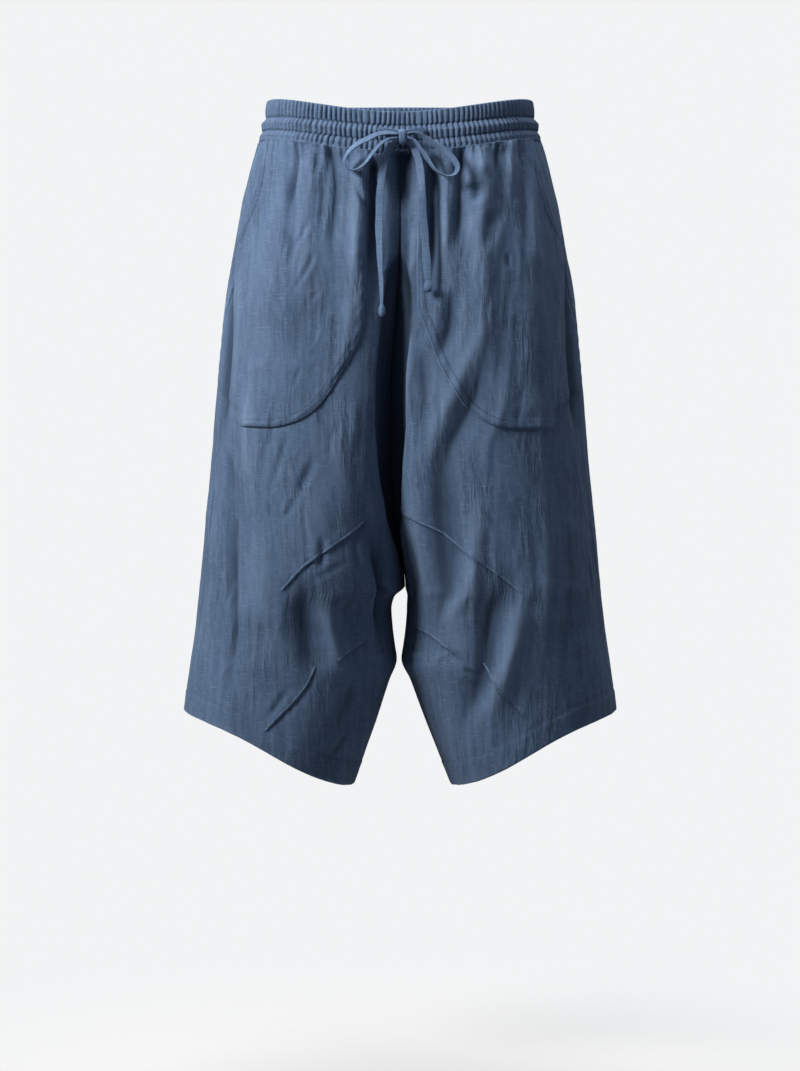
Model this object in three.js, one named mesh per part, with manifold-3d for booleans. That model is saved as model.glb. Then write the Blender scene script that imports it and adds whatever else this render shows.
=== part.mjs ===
// Drawstring linen shorts: gathered elastic waistband, patch pockets, a low crotch and wide legs.
// Sizes are in millimetres. +Z is up, -Y is the front and +X is the wearer's left.
// The origin is the middle of the waist, where the wearer holds the shorts up.
import * as THREE from 'three';
import { mergeVertices } from 'three/addons/utils/BufferGeometryUtils.js';
import Module from 'manifold-3d';

// Cloth and seams
const wall = 1.7;
const hemWall = 2.7;
const seamGap = 0.3;

// Heights of the seams and the hem, with the drop from the side seam to the inside leg
const waistSeam = -24;
const sideHem = -672;
const frontDip = 19;
const backRise = 3;
const dipEnd = -220;
const hemTurn = 24;
const hemMiddle = -710;
const hemCurve = 1.12;
const hemSweep = 0.045;
const sideSeamForward = 35;
const levelDrops = named(['height', 'drop'], [
  [waistSeam, 0],
  [-240, 26],
  [-468, 63],
  [sideHem, 86],
]);

// Levels of the panel rows at the side seam; the row at -468 runs down to the crotch
const panelLevels = [
  waistSeam, -31, -44, -62, -84, -110, -140, -172, -205, -238, -268, -294, -316, -334, -352,
  -382, -412, -441, -468, -488, -512, -540, -570, -602, -630, sideHem + hemTurn, sideHem,
];
const frontColumns = 18;
const backColumns = 14;

// Sections of the body and legs, from the waist down to the inside hem.
// halfWidth is the outline seen from the front, front and back the depths of the fullest place.
// frontPeak and backPeak say how far from the middle that place is, frontSeam and backSeam how far
// the centre seams stand from the side to side line, and inner is the inside leg's distance from the
// middle. lip is the power of the curve that rolls into the centre fold, and shift moves that fold.
const sections = named(
  ['height', 'halfWidth', 'front', 'back', 'frontPeak', 'backPeak', 'frontSeam', 'backSeam',
    'inner', 'lip', 'shift'],
  [
    [waistSeam, 161, 118, 118, 34, 34, 118, 118, 0, 2.0, 0],
    [-60, 172, 128, 134, 48, 50, 122, 132, 0, 2.0, 0],
    [-110, 183.5, 135, 148, 60, 66, 119, 143, 0, 2.2, 0],
    [-160, 192, 140, 155, 72, 82, 112, 146, 0, 2.6, -1],
    [-220, 200, 143, 158, 76, 88, 100, 140, 0, 3.0, -4],
    [-300, 209, 145, 156, 84, 96, 80, 120, 0, 3.0, -10],
    [-380, 216, 146, 152, 92, 102, 58, 90, 0, 2.8, -11],
    [-450, 222.5, 145, 147, 100, 108, 36, 58, 0, 2.6, -7],
    [-500, 227.5, 143, 143, 106, 112, 16, 28, 0, 2.5, 2],
    [-531, 230.5, 141, 140, 112, 116, 0, 0, 0, 2.4, 6],
    [-544, 232, 140, 138, 114, 118, 0, 0, 7.5, 2.3, 1],
    [-558, 233.5, 139, 136, 116, 119, 0, 0, 8.8, 2.2, -1],
    [-578, 235.5, 136, 134, 118, 120, 0, 0, 7.5, 2.2, -1],
    [-600, 238.5, 134, 131, 121, 123, 0, 0, 4.8, 2.2, -1],
    [-616, 241, 133, 129, 122, 124, 0, 0, 2.6, 2.2, -1],
    [-640, 244.5, 130, 125, 127, 128, 0, 0, 12, 2.2, 0],
    [-683, 250, 126, 119, 136, 136, 0, 0, 27, 2.2, 1],
    [-760, 259, 118, 110, 154, 154, 0, 0, 56, 2.2, 3.5],
  ],
);
const sidePower = 2.2;
const arcSteps = 28;
const facingShareStep = 0.004;
const facingHeightStep = 2;

// Largest folds. topX and bottomX are distances from the middle, seen from the front or the back.
// depth is how far the cloth moves out, and a fold that sinks in has a negative depth.
const foldColumns = ['face', 'side', 'topX', 'topZ', 'bottomX', 'bottomZ', 'width', 'depth'];
const folds = named(foldColumns, [
  ['front', -1, 118, -24, 122, -190, 11, -4.5],
  ['front', -1, 100, -24, 108, -330, 13, 4],
  ['front', -1, 80, -24, 84, -150, 10, -5],
  ['front', -1, 62, -24, 56, -130, 9, -4.5],
  ['front', -1, 45, -26, 44, -300, 14, 8],
  ['front', -1, 30, -26, 26, -260, 10, -6],
  ['front', -1, 150, -90, 165, -440, 26, 5],
  ['front', -1, 178, -360, 205, -650, 18, -5],
  ['front', -1, 95, -400, 100, -560, 28, 5],
  ['front', -1, 20, -440, 22, -612, 16, -14],
  ['front', -1, 108, -560, 112, -640, 14, -7],
  ['front', 1, 40, -26, 36, -230, 10, -6],
  ['front', 1, 68, -24, 78, -230, 10, -5.5],
  ['front', 1, 88, -24, 96, -340, 15, 6],
  ['front', 1, 112, -24, 118, -170, 12, -5],
  ['front', 1, 140, -60, 165, -480, 24, 5],
  ['front', 1, 178, -150, 176, -470, 18, -5],
  ['front', 1, 70, -470, 40, -640, 18, 6],
  ['front', 1, 130, -540, 98, -720, 20, 6],
  ['front', 1, 12, -440, 12, -600, 14, -9],
  ['back', -1, 22, -26, 34, -300, 12, -6],
  ['back', -1, 62, -24, 80, -220, 12, -5],
  ['back', -1, 100, -24, 118, -380, 16, 6],
  ['back', -1, 138, -40, 160, -300, 14, -5],
  ['back', -1, 90, -300, 60, -600, 26, -8],
  ['back', -1, 150, -380, 180, -700, 22, 6],
  ['back', 1, 30, -26, 26, -240, 11, -5.5],
  ['back', 1, 72, -24, 96, -330, 14, 6],
  ['back', 1, 104, -24, 112, -200, 12, -5],
  ['back', 1, 146, -50, 172, -420, 18, -5],
  ['back', 1, 70, -280, 44, -580, 24, -8],
  ['back', 1, 140, -420, 150, -720, 24, 6],
]);
const foldRise = 0.1;
const foldFade = 0.4;
const seamCalm = 0.05;

// Waistband rows from the top edge down: how far the cloth stands out, and how deep it gathers
const bandRows = named(['height', 'halfWidth', 'halfDepth', 'gather'], [
  [21, 152, 110.5, 0.9],
  [15, 154.6, 113, 1.6],
  [7, 153.2, 112, 0.6],
  [-1, 159, 117, 1.7],
  [-10, 157.5, 115.5, 0.6],
  [-16, 161.6, 118.6, 1.5],
  [waistSeam + seamGap, 161.6, 118.2, 0.9],
]);
const bandThickness = 3.4;
const bandGathers = 116;
const innerGather = 0.6;

// How unevenly the gathers are spaced and how unevenly deep they are: size, waves a column, waves a row
const gatherWander = { size: 0.22, column: 2.39, row: 0 };
const gatherSlant = { size: 0.18, column: 0.7, row: 1.9 };
const gatherUneven = { size: 0.25, column: 1.3, row: 1 };

// Patch pockets, seen from the front: distance from the middle and height round the edge
const pocketLift = 0.35;
const pocketWall = 1.3;
const pocketReach = 300;
const pocketCutDepth = 200;
const pocketEdges = {
  pocket_right: [
    [34, 10], [36, -120], [37, -215], [39.3, -245.8], [47.1, -266.8], [58.2, -286.7], [69.3, -305.6],
    [83.7, -323.3], [103.6, -337.7], [131.4, -346.5], [165, -347], [pocketReach, -343],
  ],
  pocket_left: [
    [22, 10], [20, -120], [22, -205], [24.9, -219.3], [33.8, -239.2], [49.3, -275.7], [65.9, -304.4],
    [77, -322.2], [97, -338.8], [117, -347.6], [165, -350], [pocketReach, -346],
  ],
};
const pocketMouth = [[192, -141], [183, -134], [173, -118], [159, -80], [153, -44], [151, 10]];

// Drawstring: one flat tape, knotted at the front
const tapeWidth = 9;
const tapeThickness = 2;
const tapeStep = 11;
const knotCentre = [2.7, -126.5, -26.1];
const knotRadii = [5.5, 6.3, 8.6];
const knotSides = 12;
const knotRings = 8;
const tapeRoutes = {
  root_right: { flat: true, points: [
    [-24.6, -120.4, -18], [-18.2, -120.5, -18.6], [-11.6, -120.8, -19.4], [-1.8, -121.3, -20.8]] },
  root_left: { flat: true, points: [
    [26.6, -120.4, -18], [18.2, -120.5, -18.8], [13, -120.8, -19.6], [7.2, -121.3, -20.8]] },
  loop_right: { flat: false, points: [
    [-3.1, -129.6, -22.8], [-15.6, -130.5, -21.8], [-26.2, -132, -23.9], [-35.7, -134, -28.6],
    [-46, -136.5, -33.8], [-56.4, -139, -42.9], [-61, -140.5, -52.3], [-60, -141.5, -58.6],
    [-54.4, -142, -63.3], [-47, -141.5, -62.1], [-38.9, -140, -56.1], [-31.5, -137.5, -46],
    [-22.4, -134, -34.8], [-13.5, -131.2, -28.4], [-3.1, -129.8, -27]] },
  loop_left: { flat: false, points: [
    [8.5, -129.6, -22.4], [16.1, -130.5, -22.4], [24.6, -132, -25.4], [34.2, -134, -31.6],
    [44.6, -136.5, -38], [53.8, -139, -46.1], [61, -140.8, -54.4], [63.6, -141.8, -60.8],
    [61, -142.5, -67.1], [54.9, -142.6, -69.7], [46.6, -141.5, -67.9], [38.4, -139.5, -62.2],
    [30.9, -137, -51.5], [22.5, -134, -39], [15.6, -131.2, -30.2], [8.6, -129.8, -26.9]] },
  tail_right: { flat: true, points: [
    [-1.1, -121.6, -31], [-6.5, -121.7, -33.2], [-12.4, -122.3, -38.4], [-16.6, -127.2, -50],
    [-19.2, -132.4, -63], [-20.9, -137, -77], [-22.8, -142, -110], [-23, -145.5, -134],
    [-22, -148, -162], [-20.4, -149.5, -190.6], [-20.1, -150, -207], [-19.8, -150, -224]] },
  tail_left: { flat: true, points: [
    [6.6, -121.6, -31], [11.4, -121.7, -33.4], [16.2, -122.6, -39.5], [20.8, -127.6, -53], [22.8, -133, -66],
    [23.7, -137, -77], [25.3, -142, -110], [27.7, -146, -142], [30.2, -148.5, -174],
    [31.1, -149.5, -197]] },
};

// Colours of the cloth
const linen = { color: 0x5a6f90, roughness: 0.92, metalness: 0 };
const tapeCloth = { color: 0x62779a, roughness: 0.9, metalness: 0 };

// Turns each row of a table into an object with the table's column names
function named(columns, rows) {
  return rows.map((row) => Object.fromEntries(columns.map((column, i) => [column, row[i]])));
}

function smoothStep(value) {
  const t = Math.min(Math.max(value, 0), 1);
  return t * t * (3 - 2 * t);
}

// Slope at a table row that never overshoots its neighbours
function calmSlope(before, after) {
  return before * after > 0 ? (2 * before * after) / (before + after) : 0;
}

// Reads every column of a table at one height, on a smooth curve through its rows
function readTable(table, height) {
  const slope = (row, column) => {
    const [above, here, below] = [table[row - 1], table[row], table[row + 1]];
    const up = above && (here[column] - above[column]) / (here.height - above.height);
    const down = below && (below[column] - here[column]) / (below.height - here.height);
    return above && below ? calmSlope(up, down) : (up ?? down);
  };
  let row = 0;
  while (row < table.length - 2 && height < table[row + 1].height) row += 1;
  const [from, to] = [table[row], table[row + 1]];
  const span = to.height - from.height;
  const t = Math.min(Math.max((height - from.height) / span, 0), 1);
  const fromPart = 2 * t ** 3 - 3 * t ** 2 + 1;
  const fromSlopePart = (t ** 3 - 2 * t ** 2 + t) * span;
  const toSlopePart = (t ** 3 - t ** 2) * span;
  const read = (column) => {
    const values = fromPart * from[column] + (1 - fromPart) * to[column];
    return values + fromSlopePart * slope(row, column) + toSlopePart * slope(row + 1, column);
  };
  return Object.fromEntries(Object.keys(from).map((column) => [column, read(column)]));
}

// Half of a section from the centre front round the side to the centre back, with its length
const outlines = new Map();
function halfOutline(height) {
  const key = height.toFixed(3);
  if (outlines.has(key)) return outlines.get(key);
  const s = readTable(sections, height);
  const points = [];
  const arc = (power, centre, cosineReach, sineReach) => {
    for (let step = 0; step <= arcSteps; step += 1) {
      const angle = (step / arcSteps) * (Math.PI / 2);
      const a = Math.cos(angle) ** (2 / power);
      const b = Math.sin(angle) ** (2 / power);
      points.push([0, 1].map((k) => centre[k] + cosineReach[k] * a + sineReach[k] * b));
    }
  };
  const frontHeart = [s.frontPeak, -s.frontSeam];
  const backHeart = [s.backPeak, s.backSeam];
  arc(s.lip, frontHeart, [s.inner - s.frontPeak, 0], [0, s.frontSeam - s.front]);
  arc(sidePower, [s.frontPeak, 0], [0, -s.front], [s.halfWidth - s.frontPeak, 0]);
  arc(sidePower, [s.backPeak, 0], [s.halfWidth - s.backPeak, 0], [0, s.back]);
  arc(s.lip, backHeart, [0, s.back - s.backSeam], [s.inner - s.backPeak, 0]);
  const lengths = [0];
  for (let i = 1; i < points.length; i += 1) {
    const [x, y] = [0, 1].map((k) => points[i][k] - points[i - 1][k]);
    lengths.push(lengths[i - 1] + Math.hypot(x, y));
  }
  const girth = lengths.at(-1);
  const past = points.findIndex(([x, y]) => x > s.frontPeak && y >= -sideSeamForward);
  const [before, after] = [points[past - 1][1], points[past][1]];
  const reach = (-sideSeamForward - before) / (after - before);
  const seamLength = lengths[past - 1] + (lengths[past] - lengths[past - 1]) * reach;
  const outline = { points, lengths, girth, section: s, sideSeam: seamLength / girth };
  outlines.set(key, outline);
  return outline;
}

// A point of the section at a share of its length, 0 at the centre front and 1 at the centre back
function outlinePoint(height, share, side) {
  const { points, lengths, girth, section } = halfOutline(height);
  const length = Math.min(Math.max(share, 0), 1) * girth;
  let i = 1;
  while (i < points.length - 1 && lengths[i] < length) i += 1;
  const t = (length - lengths[i - 1]) / Math.max(lengths[i] - lengths[i - 1], 1e-9);
  const x = points[i - 1][0] + (points[i][0] - points[i - 1][0]) * t;
  const y = points[i - 1][1] + (points[i][1] - points[i - 1][1]) * t;
  return new THREE.Vector3(side * x + section.shift * (1 - x / section.halfWidth), y, height);
}

// The share of the section's length at a distance from the middle, on the front or the back
function shareAt(height, face, x) {
  const { points, lengths, girth } = halfOutline(height);
  const order = points.map((_, i) => (face === 'front' ? i : points.length - 1 - i));
  return lengths[order.find((i) => points[i][0] >= x) ?? order[2 * arcSteps]] / girth;
}

// How far the cloth stands out of the plain section because of the folds
function foldHeight(side, share, height) {
  let out = 0;
  for (const fold of folds) {
    const along = (fold.topZ - height) / (fold.topZ - fold.bottomZ);
    if (fold.side !== side || along <= 0 || along >= 1) continue;
    const x = fold.topX + (fold.bottomX - fold.topX) * along;
    const away = (share - shareAt(height, fold.face, x)) * halfOutline(height).girth;
    const ends = smoothStep(along / foldRise) * (1 - smoothStep((along - foldFade) / (1 - foldFade)));
    out += fold.depth * ends * Math.exp(-((away / fold.width) ** 2));
  }
  return out * smoothStep(share / seamCalm) * smoothStep((1 - share) / seamCalm);
}

// Where the plain cloth is at one place, and which way it faces
function plainCloth(side, share, height) {
  const place = outlinePoint(height, share, side);
  const ahead = outlinePoint(height, Math.min(share + facingShareStep, 1), side);
  const behind = outlinePoint(height, Math.max(share - facingShareStep, 0), side);
  const below = outlinePoint(height - facingHeightStep, share, side);
  const above = outlinePoint(height + facingHeightStep, share, side);
  const facing = ahead.sub(behind).cross(below.sub(above)).normalize().multiplyScalar(-side);
  return { place, facing };
}

// The part of the way from the side to the inside leg, seen from the front at the hem
function inwardShare(face, across) {
  const { sideSeam, section } = halfOutline(hemMiddle);
  const share = face === 'front' ? sideSeam * across : 1 - (1 - sideSeam) * across;
  const x = Math.abs(outlinePoint(hemMiddle, share, 1).x - section.shift * (across < 1 ? 1 : 0));
  return Math.min(Math.max((section.halfWidth - x) / (section.halfWidth - section.inner), 0), 1);
}

// Height of a place on a panel. across runs from 0 at the centre to 1 at the side seam.
function panelHeights(face, across, level) {
  const fromSide = inwardShare(face, across);
  const inward = fromSide ** hemCurve - hemSweep * Math.sin(2 * Math.PI * fromSide);
  const height = level - readTable(levelDrops, level).drop * inward;
  const dip = face === 'front' ? -frontDip : backRise;
  const fade = 1 - smoothStep((waistSeam - level) / (waistSeam - dipEnd));
  return { height, lift: dip * Math.cos((Math.PI / 2) * across) ** 2 * fade };
}

// The outer point of a panel and the way that it faces
function panelPoint(face, side, across, level) {
  const { height, lift } = panelHeights(face, across, level);
  const seam = halfOutline(height).sideSeam;
  const share = face === 'front' ? seam * across : 1 - (1 - seam) * across;
  const { place, facing } = plainCloth(side, share, height);
  place.addScaledVector(facing, foldHeight(side, share, height));
  place.z += lift;
  return { place, facing };
}

// Keeps a point half a seam gap away from the centre seam, the inside leg seam or the side seam
function keepClear(place, face, side, across, height) {
  const { shift, frontSeam } = readTable(sections, height);
  const half = seamGap / 2;
  const ahead = face === 'front' ? -1 : 1;
  if (side * (place.x - shift) < half) place.x = shift + side * half;
  if (across < 0.5 && frontSeam < half && ahead * place.y < half) place.y = ahead * half;
  if (across === 1) place.y += ahead * half;
  return place;
}

// Grids of outer points and facings of a panel, a row for each level
function panelGrid(face, side) {
  const columns = face === 'front' ? frontColumns : backColumns;
  return panelLevels.map((level) => {
    const row = [];
    for (let i = 0; i <= columns; i += 1) {
      row.push(panelPoint(face, side, i / columns, level));
    }
    return row;
  });
}

// The points of a grid moved along their facings, clear of the seams
function movedGrid(grid, face, side, distanceAt) {
  const columns = grid[0].length - 1;
  return grid.map((row, j) => row.map(({ place, facing }, i) => {
    const moved = place.clone().addScaledVector(facing, distanceAt(j));
    const { height } = panelHeights(face, i / columns, panelLevels[j]);
    return keepClear(moved, face, side, i / columns, height);
  }));
}

// A closed wall between an outer and an inner grid
function wallSolid(outer, inner) {
  const rows = outer.length;
  const columns = outer[0].length;
  const last = columns - 1;
  const positions = [...outer.flat(), ...inner.flat()];
  const out = (j, i) => j * columns + i;
  const inn = (j, i) => rows * columns + out(j, i);
  const faces = [];
  const quad = (a, b, c, d) => faces.push([a, b, c], [a, c, d]);
  for (let j = 0; j < rows - 1; j += 1) {
    for (let i = 0; i < last; i += 1) {
      quad(out(j, i), out(j + 1, i), out(j + 1, i + 1), out(j, i + 1));
      quad(inn(j, i), inn(j, i + 1), inn(j + 1, i + 1), inn(j + 1, i));
    }
  }
  for (let i = 0; i < last; i += 1) {
    quad(out(0, i), out(0, i + 1), inn(0, i + 1), inn(0, i));
    quad(out(rows - 1, i), inn(rows - 1, i), inn(rows - 1, i + 1), out(rows - 1, i + 1));
  }
  for (let j = 0; j < rows - 1; j += 1) {
    quad(out(j, 0), inn(j, 0), inn(j + 1, 0), out(j + 1, 0));
    quad(out(j, last), out(j + 1, last), inn(j + 1, last), inn(j, last));
  }
  return facingOut(positions, faces);
}

// Makes a geometry whose faces point out of the solid
function facingOut(positions, faces) {
  const volume = faces.reduce((sum, [a, b, c]) => (
    sum + positions[a].dot(positions[b].clone().cross(positions[c]))), 0);
  const turned = volume < 0 ? faces.map(([a, b, c]) => [a, c, b]) : faces;
  const geometry = new THREE.BufferGeometry().setFromPoints(positions);
  geometry.setIndex(turned.flat());
  return geometry;
}

// One front or back panel, thicker where the hem is turned up inside
function panel(face, side) {
  const grid = panelGrid(face, side);
  const outer = movedGrid(grid, face, side, () => 0);
  const hemRow = panelLevels.indexOf(sideHem + hemTurn);
  const inner = movedGrid(grid, face, side, (j) => (j > hemRow ? -hemWall : -wall));
  return wallSolid(outer, inner);
}

function wave({ size, column, row }, i, j) {
  return size * Math.sin(i * column + j * row);
}

// A ring of the waistband: one point on each ridge and in each valley of the gathers
function bandRing(row, rowIndex, inset) {
  const points = [];
  const count = bandGathers * 2;
  for (let i = 0; i < count; i += 1) {
    const ridge = i % 2 === 0 ? 1 : -1;
    const wander = wave(gatherWander, i, rowIndex) + wave(gatherSlant, i, rowIndex);
    const turn = ((i + wander) / count) * 2;
    const side = turn < 1 ? 1 : -1;
    const share = turn < 1 ? turn : 2 - turn;
    const uneven = 1 - gatherUneven.size + wave(gatherUneven, i, rowIndex);
    points.push(bandPoint(row, share, side, ridge * row.gather * uneven - inset));
  }
  return points;
}

// A point of the waistband, a distance outward from the row's plain outline
function bandPoint(row, share, side, out) {
  const { place, facing } = plainCloth(side, share, waistSeam);
  const top = sections[0];
  const seam = halfOutline(waistSeam).sideSeam;
  const across = share < seam ? share / seam : (1 - share) / (1 - seam);
  const dip = share < seam ? -frontDip : backRise;
  const point = new THREE.Vector3(
    place.x * (row.halfWidth / top.halfWidth),
    place.y * (row.halfDepth / top.front),
    row.height + dip * Math.cos((Math.PI / 2) * across) ** 2,
  );
  facing.z = 0;
  return point.addScaledVector(facing.normalize(), out);
}

function waistband() {
  const outer = bandRows.map((row, j) => bandRing(row, j, 0));
  const inner = [0, bandRows.length - 1].map((j) => {
    const row = { ...bandRows[j], gather: bandRows[j].gather * innerGather };
    return bandRing(row, j, bandThickness);
  });
  return ringWall(outer, inner);
}

// A ring whose outer face has more rows than its plain inner face
function ringWall(outer, inner) {
  const count = outer[0].length;
  const rows = outer.length;
  const positions = [...outer.flat(), ...inner.flat()];
  const at = (j, i) => j * count + (i % count);
  const faces = [];
  const quad = (a, b, c, d) => faces.push([a, b, c], [a, c, d]);
  for (let i = 0; i < count; i += 1) {
    for (let j = 0; j < rows - 1; j += 1) {
      quad(at(j, i), at(j + 1, i), at(j + 1, i + 1), at(j, i + 1));
    }
    quad(at(rows, i), at(rows, i + 1), at(rows + 1, i + 1), at(rows + 1, i));
    quad(at(0, i), at(0, i + 1), at(rows, i + 1), at(rows, i));
    quad(at(rows - 1, i), at(rows + 1, i), at(rows + 1, i + 1), at(rows - 1, i + 1));
  }
  return facingOut(positions, faces);
}

const wasm = await Module();
wasm.setup();

function toManifold(geometry) {
  const plain = geometry.clone();
  plain.deleteAttribute('normal');
  plain.deleteAttribute('uv');
  const merged = mergeVertices(plain, 1e-4);
  return new wasm.Manifold(new wasm.Mesh({
    numProp: 3,
    vertProperties: new Float32Array(merged.attributes.position.array),
    triVerts: new Uint32Array(merged.index.array),
  }));
}

function fromManifold(solid) {
  const mesh = solid.getMesh();
  const geometry = new THREE.BufferGeometry();
  geometry.setAttribute('position', new THREE.Float32BufferAttribute(mesh.vertProperties, 3));
  geometry.setIndex(Array.from(mesh.triVerts));
  return geometry;
}

// A patch made from the front panel's points, moved out, and cut to the pocket's outline
function pocket(name, side) {
  const grid = panelGrid('front', side);
  const sheet = wallSolid(
    movedGrid(grid, 'front', side, () => pocketLift + pocketWall),
    movedGrid(grid, 'front', side, () => pocketLift),
  );
  const edge = [...pocketEdges[name], [pocketReach, pocketMouth[0][1]], ...pocketMouth];
  const shape = new THREE.Shape(edge.map(([x, z]) => new THREE.Vector2(side * x, z)));
  const cutter = new THREE.ExtrudeGeometry(shape, { depth: pocketCutDepth, bevelEnabled: false });
  cutter.rotateX(Math.PI / 2);
  return fromManifold(toManifold(sheet).intersect(toManifold(cutter)));
}

// A stretch of the flat tape along its route; flat lies against the cloth, otherwise it stands on edge
function tape({ flat, points }) {
  const route = points.map((point) => new THREE.Vector3(...point));
  const curve = new THREE.CatmullRomCurve3(route, false, 'centripetal');
  const across = (flat ? tapeThickness : tapeWidth) / 2;
  const along = (flat ? tapeWidth : tapeThickness) / 2;
  const cut = tapeThickness / 4;
  const corners = [
    [across, along - cut], [across - cut, along], [cut - across, along], [-across, along - cut],
    [-across, cut - along], [cut - across, -along], [across - cut, -along], [across, cut - along],
  ];
  const shape = new THREE.Shape(corners.map(([x, y]) => new THREE.Vector2(x, y)));
  const steps = Math.ceil(curve.getLength() / tapeStep);
  return new THREE.ExtrudeGeometry(shape, { steps, extrudePath: curve, bevelEnabled: false });
}

function knot() {
  const geometry = new THREE.SphereGeometry(1, knotSides, knotRings);
  geometry.scale(...knotRadii);
  return geometry.translate(...knotCentre);
}

function mesh(name, geometry, finish) {
  const made = new THREE.Mesh(geometry, new THREE.MeshStandardMaterial(finish));
  made.name = name;
  return made;
}

const shorts = new THREE.Group();
shorts.add(mesh('waistband', waistband(), linen));
for (const [label, side] of [['right', -1], ['left', 1]]) {
  shorts.add(mesh(`front_${label}`, panel('front', side), linen));
  shorts.add(mesh(`back_${label}`, panel('back', side), linen));
  shorts.add(mesh(`pocket_${label}`, pocket(`pocket_${label}`, side), linen));
}
shorts.add(mesh('knot', knot(), tapeCloth));
for (const [name, route] of Object.entries(tapeRoutes)) {
  shorts.add(mesh(name, tape(route), tapeCloth));
}

export default shorts;
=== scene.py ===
from math import atan2, cos, pi, radians, sin

import bpy
import numpy as np
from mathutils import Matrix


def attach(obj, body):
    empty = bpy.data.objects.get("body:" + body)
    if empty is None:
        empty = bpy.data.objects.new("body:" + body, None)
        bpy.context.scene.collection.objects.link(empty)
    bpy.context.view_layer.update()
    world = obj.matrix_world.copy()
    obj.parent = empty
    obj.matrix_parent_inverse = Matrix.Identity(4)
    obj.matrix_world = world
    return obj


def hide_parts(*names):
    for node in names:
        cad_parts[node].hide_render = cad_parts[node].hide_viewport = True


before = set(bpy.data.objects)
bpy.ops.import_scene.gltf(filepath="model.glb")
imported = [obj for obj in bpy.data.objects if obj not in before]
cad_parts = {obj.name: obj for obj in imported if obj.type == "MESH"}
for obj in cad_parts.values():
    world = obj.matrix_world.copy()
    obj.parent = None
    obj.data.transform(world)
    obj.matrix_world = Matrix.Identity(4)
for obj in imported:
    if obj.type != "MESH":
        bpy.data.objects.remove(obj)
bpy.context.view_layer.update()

# View
# The shorts are looked at from straight in front, from a little over the knees, with a long lens
# that is turned slightly down.
bpy.ops.object.select_all(action="DESELECT")
CAMERA_DISTANCE = 3.7
CAMERA_HEIGHT = -0.28
CAMERA_DOWN = 3.0
LENS, SENSOR_WIDTH = 108.1, 36
bpy.ops.object.camera_add(
    location=(0, -CAMERA_DISTANCE, CAMERA_HEIGHT), rotation=(radians(90 - CAMERA_DOWN), 0, 0)
)
camera = bpy.context.object
camera.data.sensor_width = SENSOR_WIDTH
camera.data.lens = LENS
bpy.context.scene.camera = camera


# Drawstring
# One flat tape, sewn from a folded strip of the same linen and knotted at both ends. It comes out
# of the waistband at two places beside the middle and is tied in a bow over the gathers.
TAPE_WIDTH, TAPE_THICKNESS, TAPE_CORNERS = 9.0, 2.0, 24
TAPE_ROUTES = {
    "root_right": [(-24.6, -120.4, -18), (-18.2, -120.5, -18.6), (-11.6, -120.8, -19.4),
                   (-1.8, -121.3, -20.8)],
    "root_left": [(26.6, -120.4, -18), (18.2, -120.5, -18.8), (13, -120.8, -19.6),
                  (7.2, -121.3, -20.8)],
    "loop_right": [(-3.1, -129.6, -22.8), (-15.6, -130.5, -21.8), (-26.2, -132, -23.9),
                   (-35.7, -134, -28.6), (-46, -136.5, -33.8), (-56.4, -139, -42.9),
                   (-61, -140.5, -52.3), (-60, -141.5, -58.6), (-54.4, -142, -63.3),
                   (-47, -141.5, -62.1), (-38.9, -140, -56.1), (-31.5, -137.5, -46),
                   (-22.4, -134, -34.8), (-13.5, -131.2, -28.4), (-3.1, -129.8, -27)],
    "loop_left": [(8.5, -129.6, -22.4), (16.1, -130.5, -22.4), (24.6, -132, -25.4),
                  (34.2, -134, -31.6), (44.6, -136.5, -38), (53.8, -139, -46.1),
                  (61, -140.8, -54.4), (63.6, -141.8, -60.8), (61, -142.5, -67.1),
                  (54.9, -142.6, -69.7), (46.6, -141.5, -67.9), (38.4, -139.5, -62.2),
                  (30.9, -137, -51.5), (22.5, -134, -39), (15.6, -131.2, -30.2),
                  (8.6, -129.8, -26.9)],
    "tail_right": [(-1.1, -121.6, -31), (-6.5, -121.7, -33.2), (-12.4, -122.3, -38.4),
                   (-16.6, -127.2, -50), (-19.2, -132.4, -63), (-20.9, -137, -77),
                   (-22.8, -142, -110), (-23, -145.5, -134), (-22, -148, -162),
                   (-20.4, -149.5, -190.6), (-20.1, -150, -207), (-19.8, -150, -224)],
    "tail_left": [(6.6, -121.6, -31), (11.4, -121.7, -33.4), (16.2, -122.6, -39.5),
                  (20.8, -127.6, -53), (22.8, -133, -66), (23.7, -137, -77),
                  (25.3, -142, -110), (27.7, -146, -142), (30.2, -148.5, -174),
                  (31.1, -149.5, -197)],
}
# How far the tape is turned on its own line, in degrees, at shares of its length: at 0 it shows
# its face to the front and at 90 its edge
TAPE_TURNS = {
    "root_right": [(0, 0), (1, 25)],
    "root_left": [(0, 0), (1, -20)],
    "loop_right": [(0, 62), (0.2, 44), (0.38, 56), (0.5, 84), (0.62, 102), (0.8, 124), (1, 108)],
    "loop_left": [(0, 72), (0.2, 42), (0.38, 34), (0.48, 58), (0.6, 92), (0.8, 120), (1, 104)],
    "tail_right": [(0, 10), (0.15, -12), (0.45, 14), (0.7, 48), (0.88, 66), (1, 66)],
    "tail_left": [(0, -10), (0.2, 18), (0.5, -6), (0.8, 8), (1, 0)],
}
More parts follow.
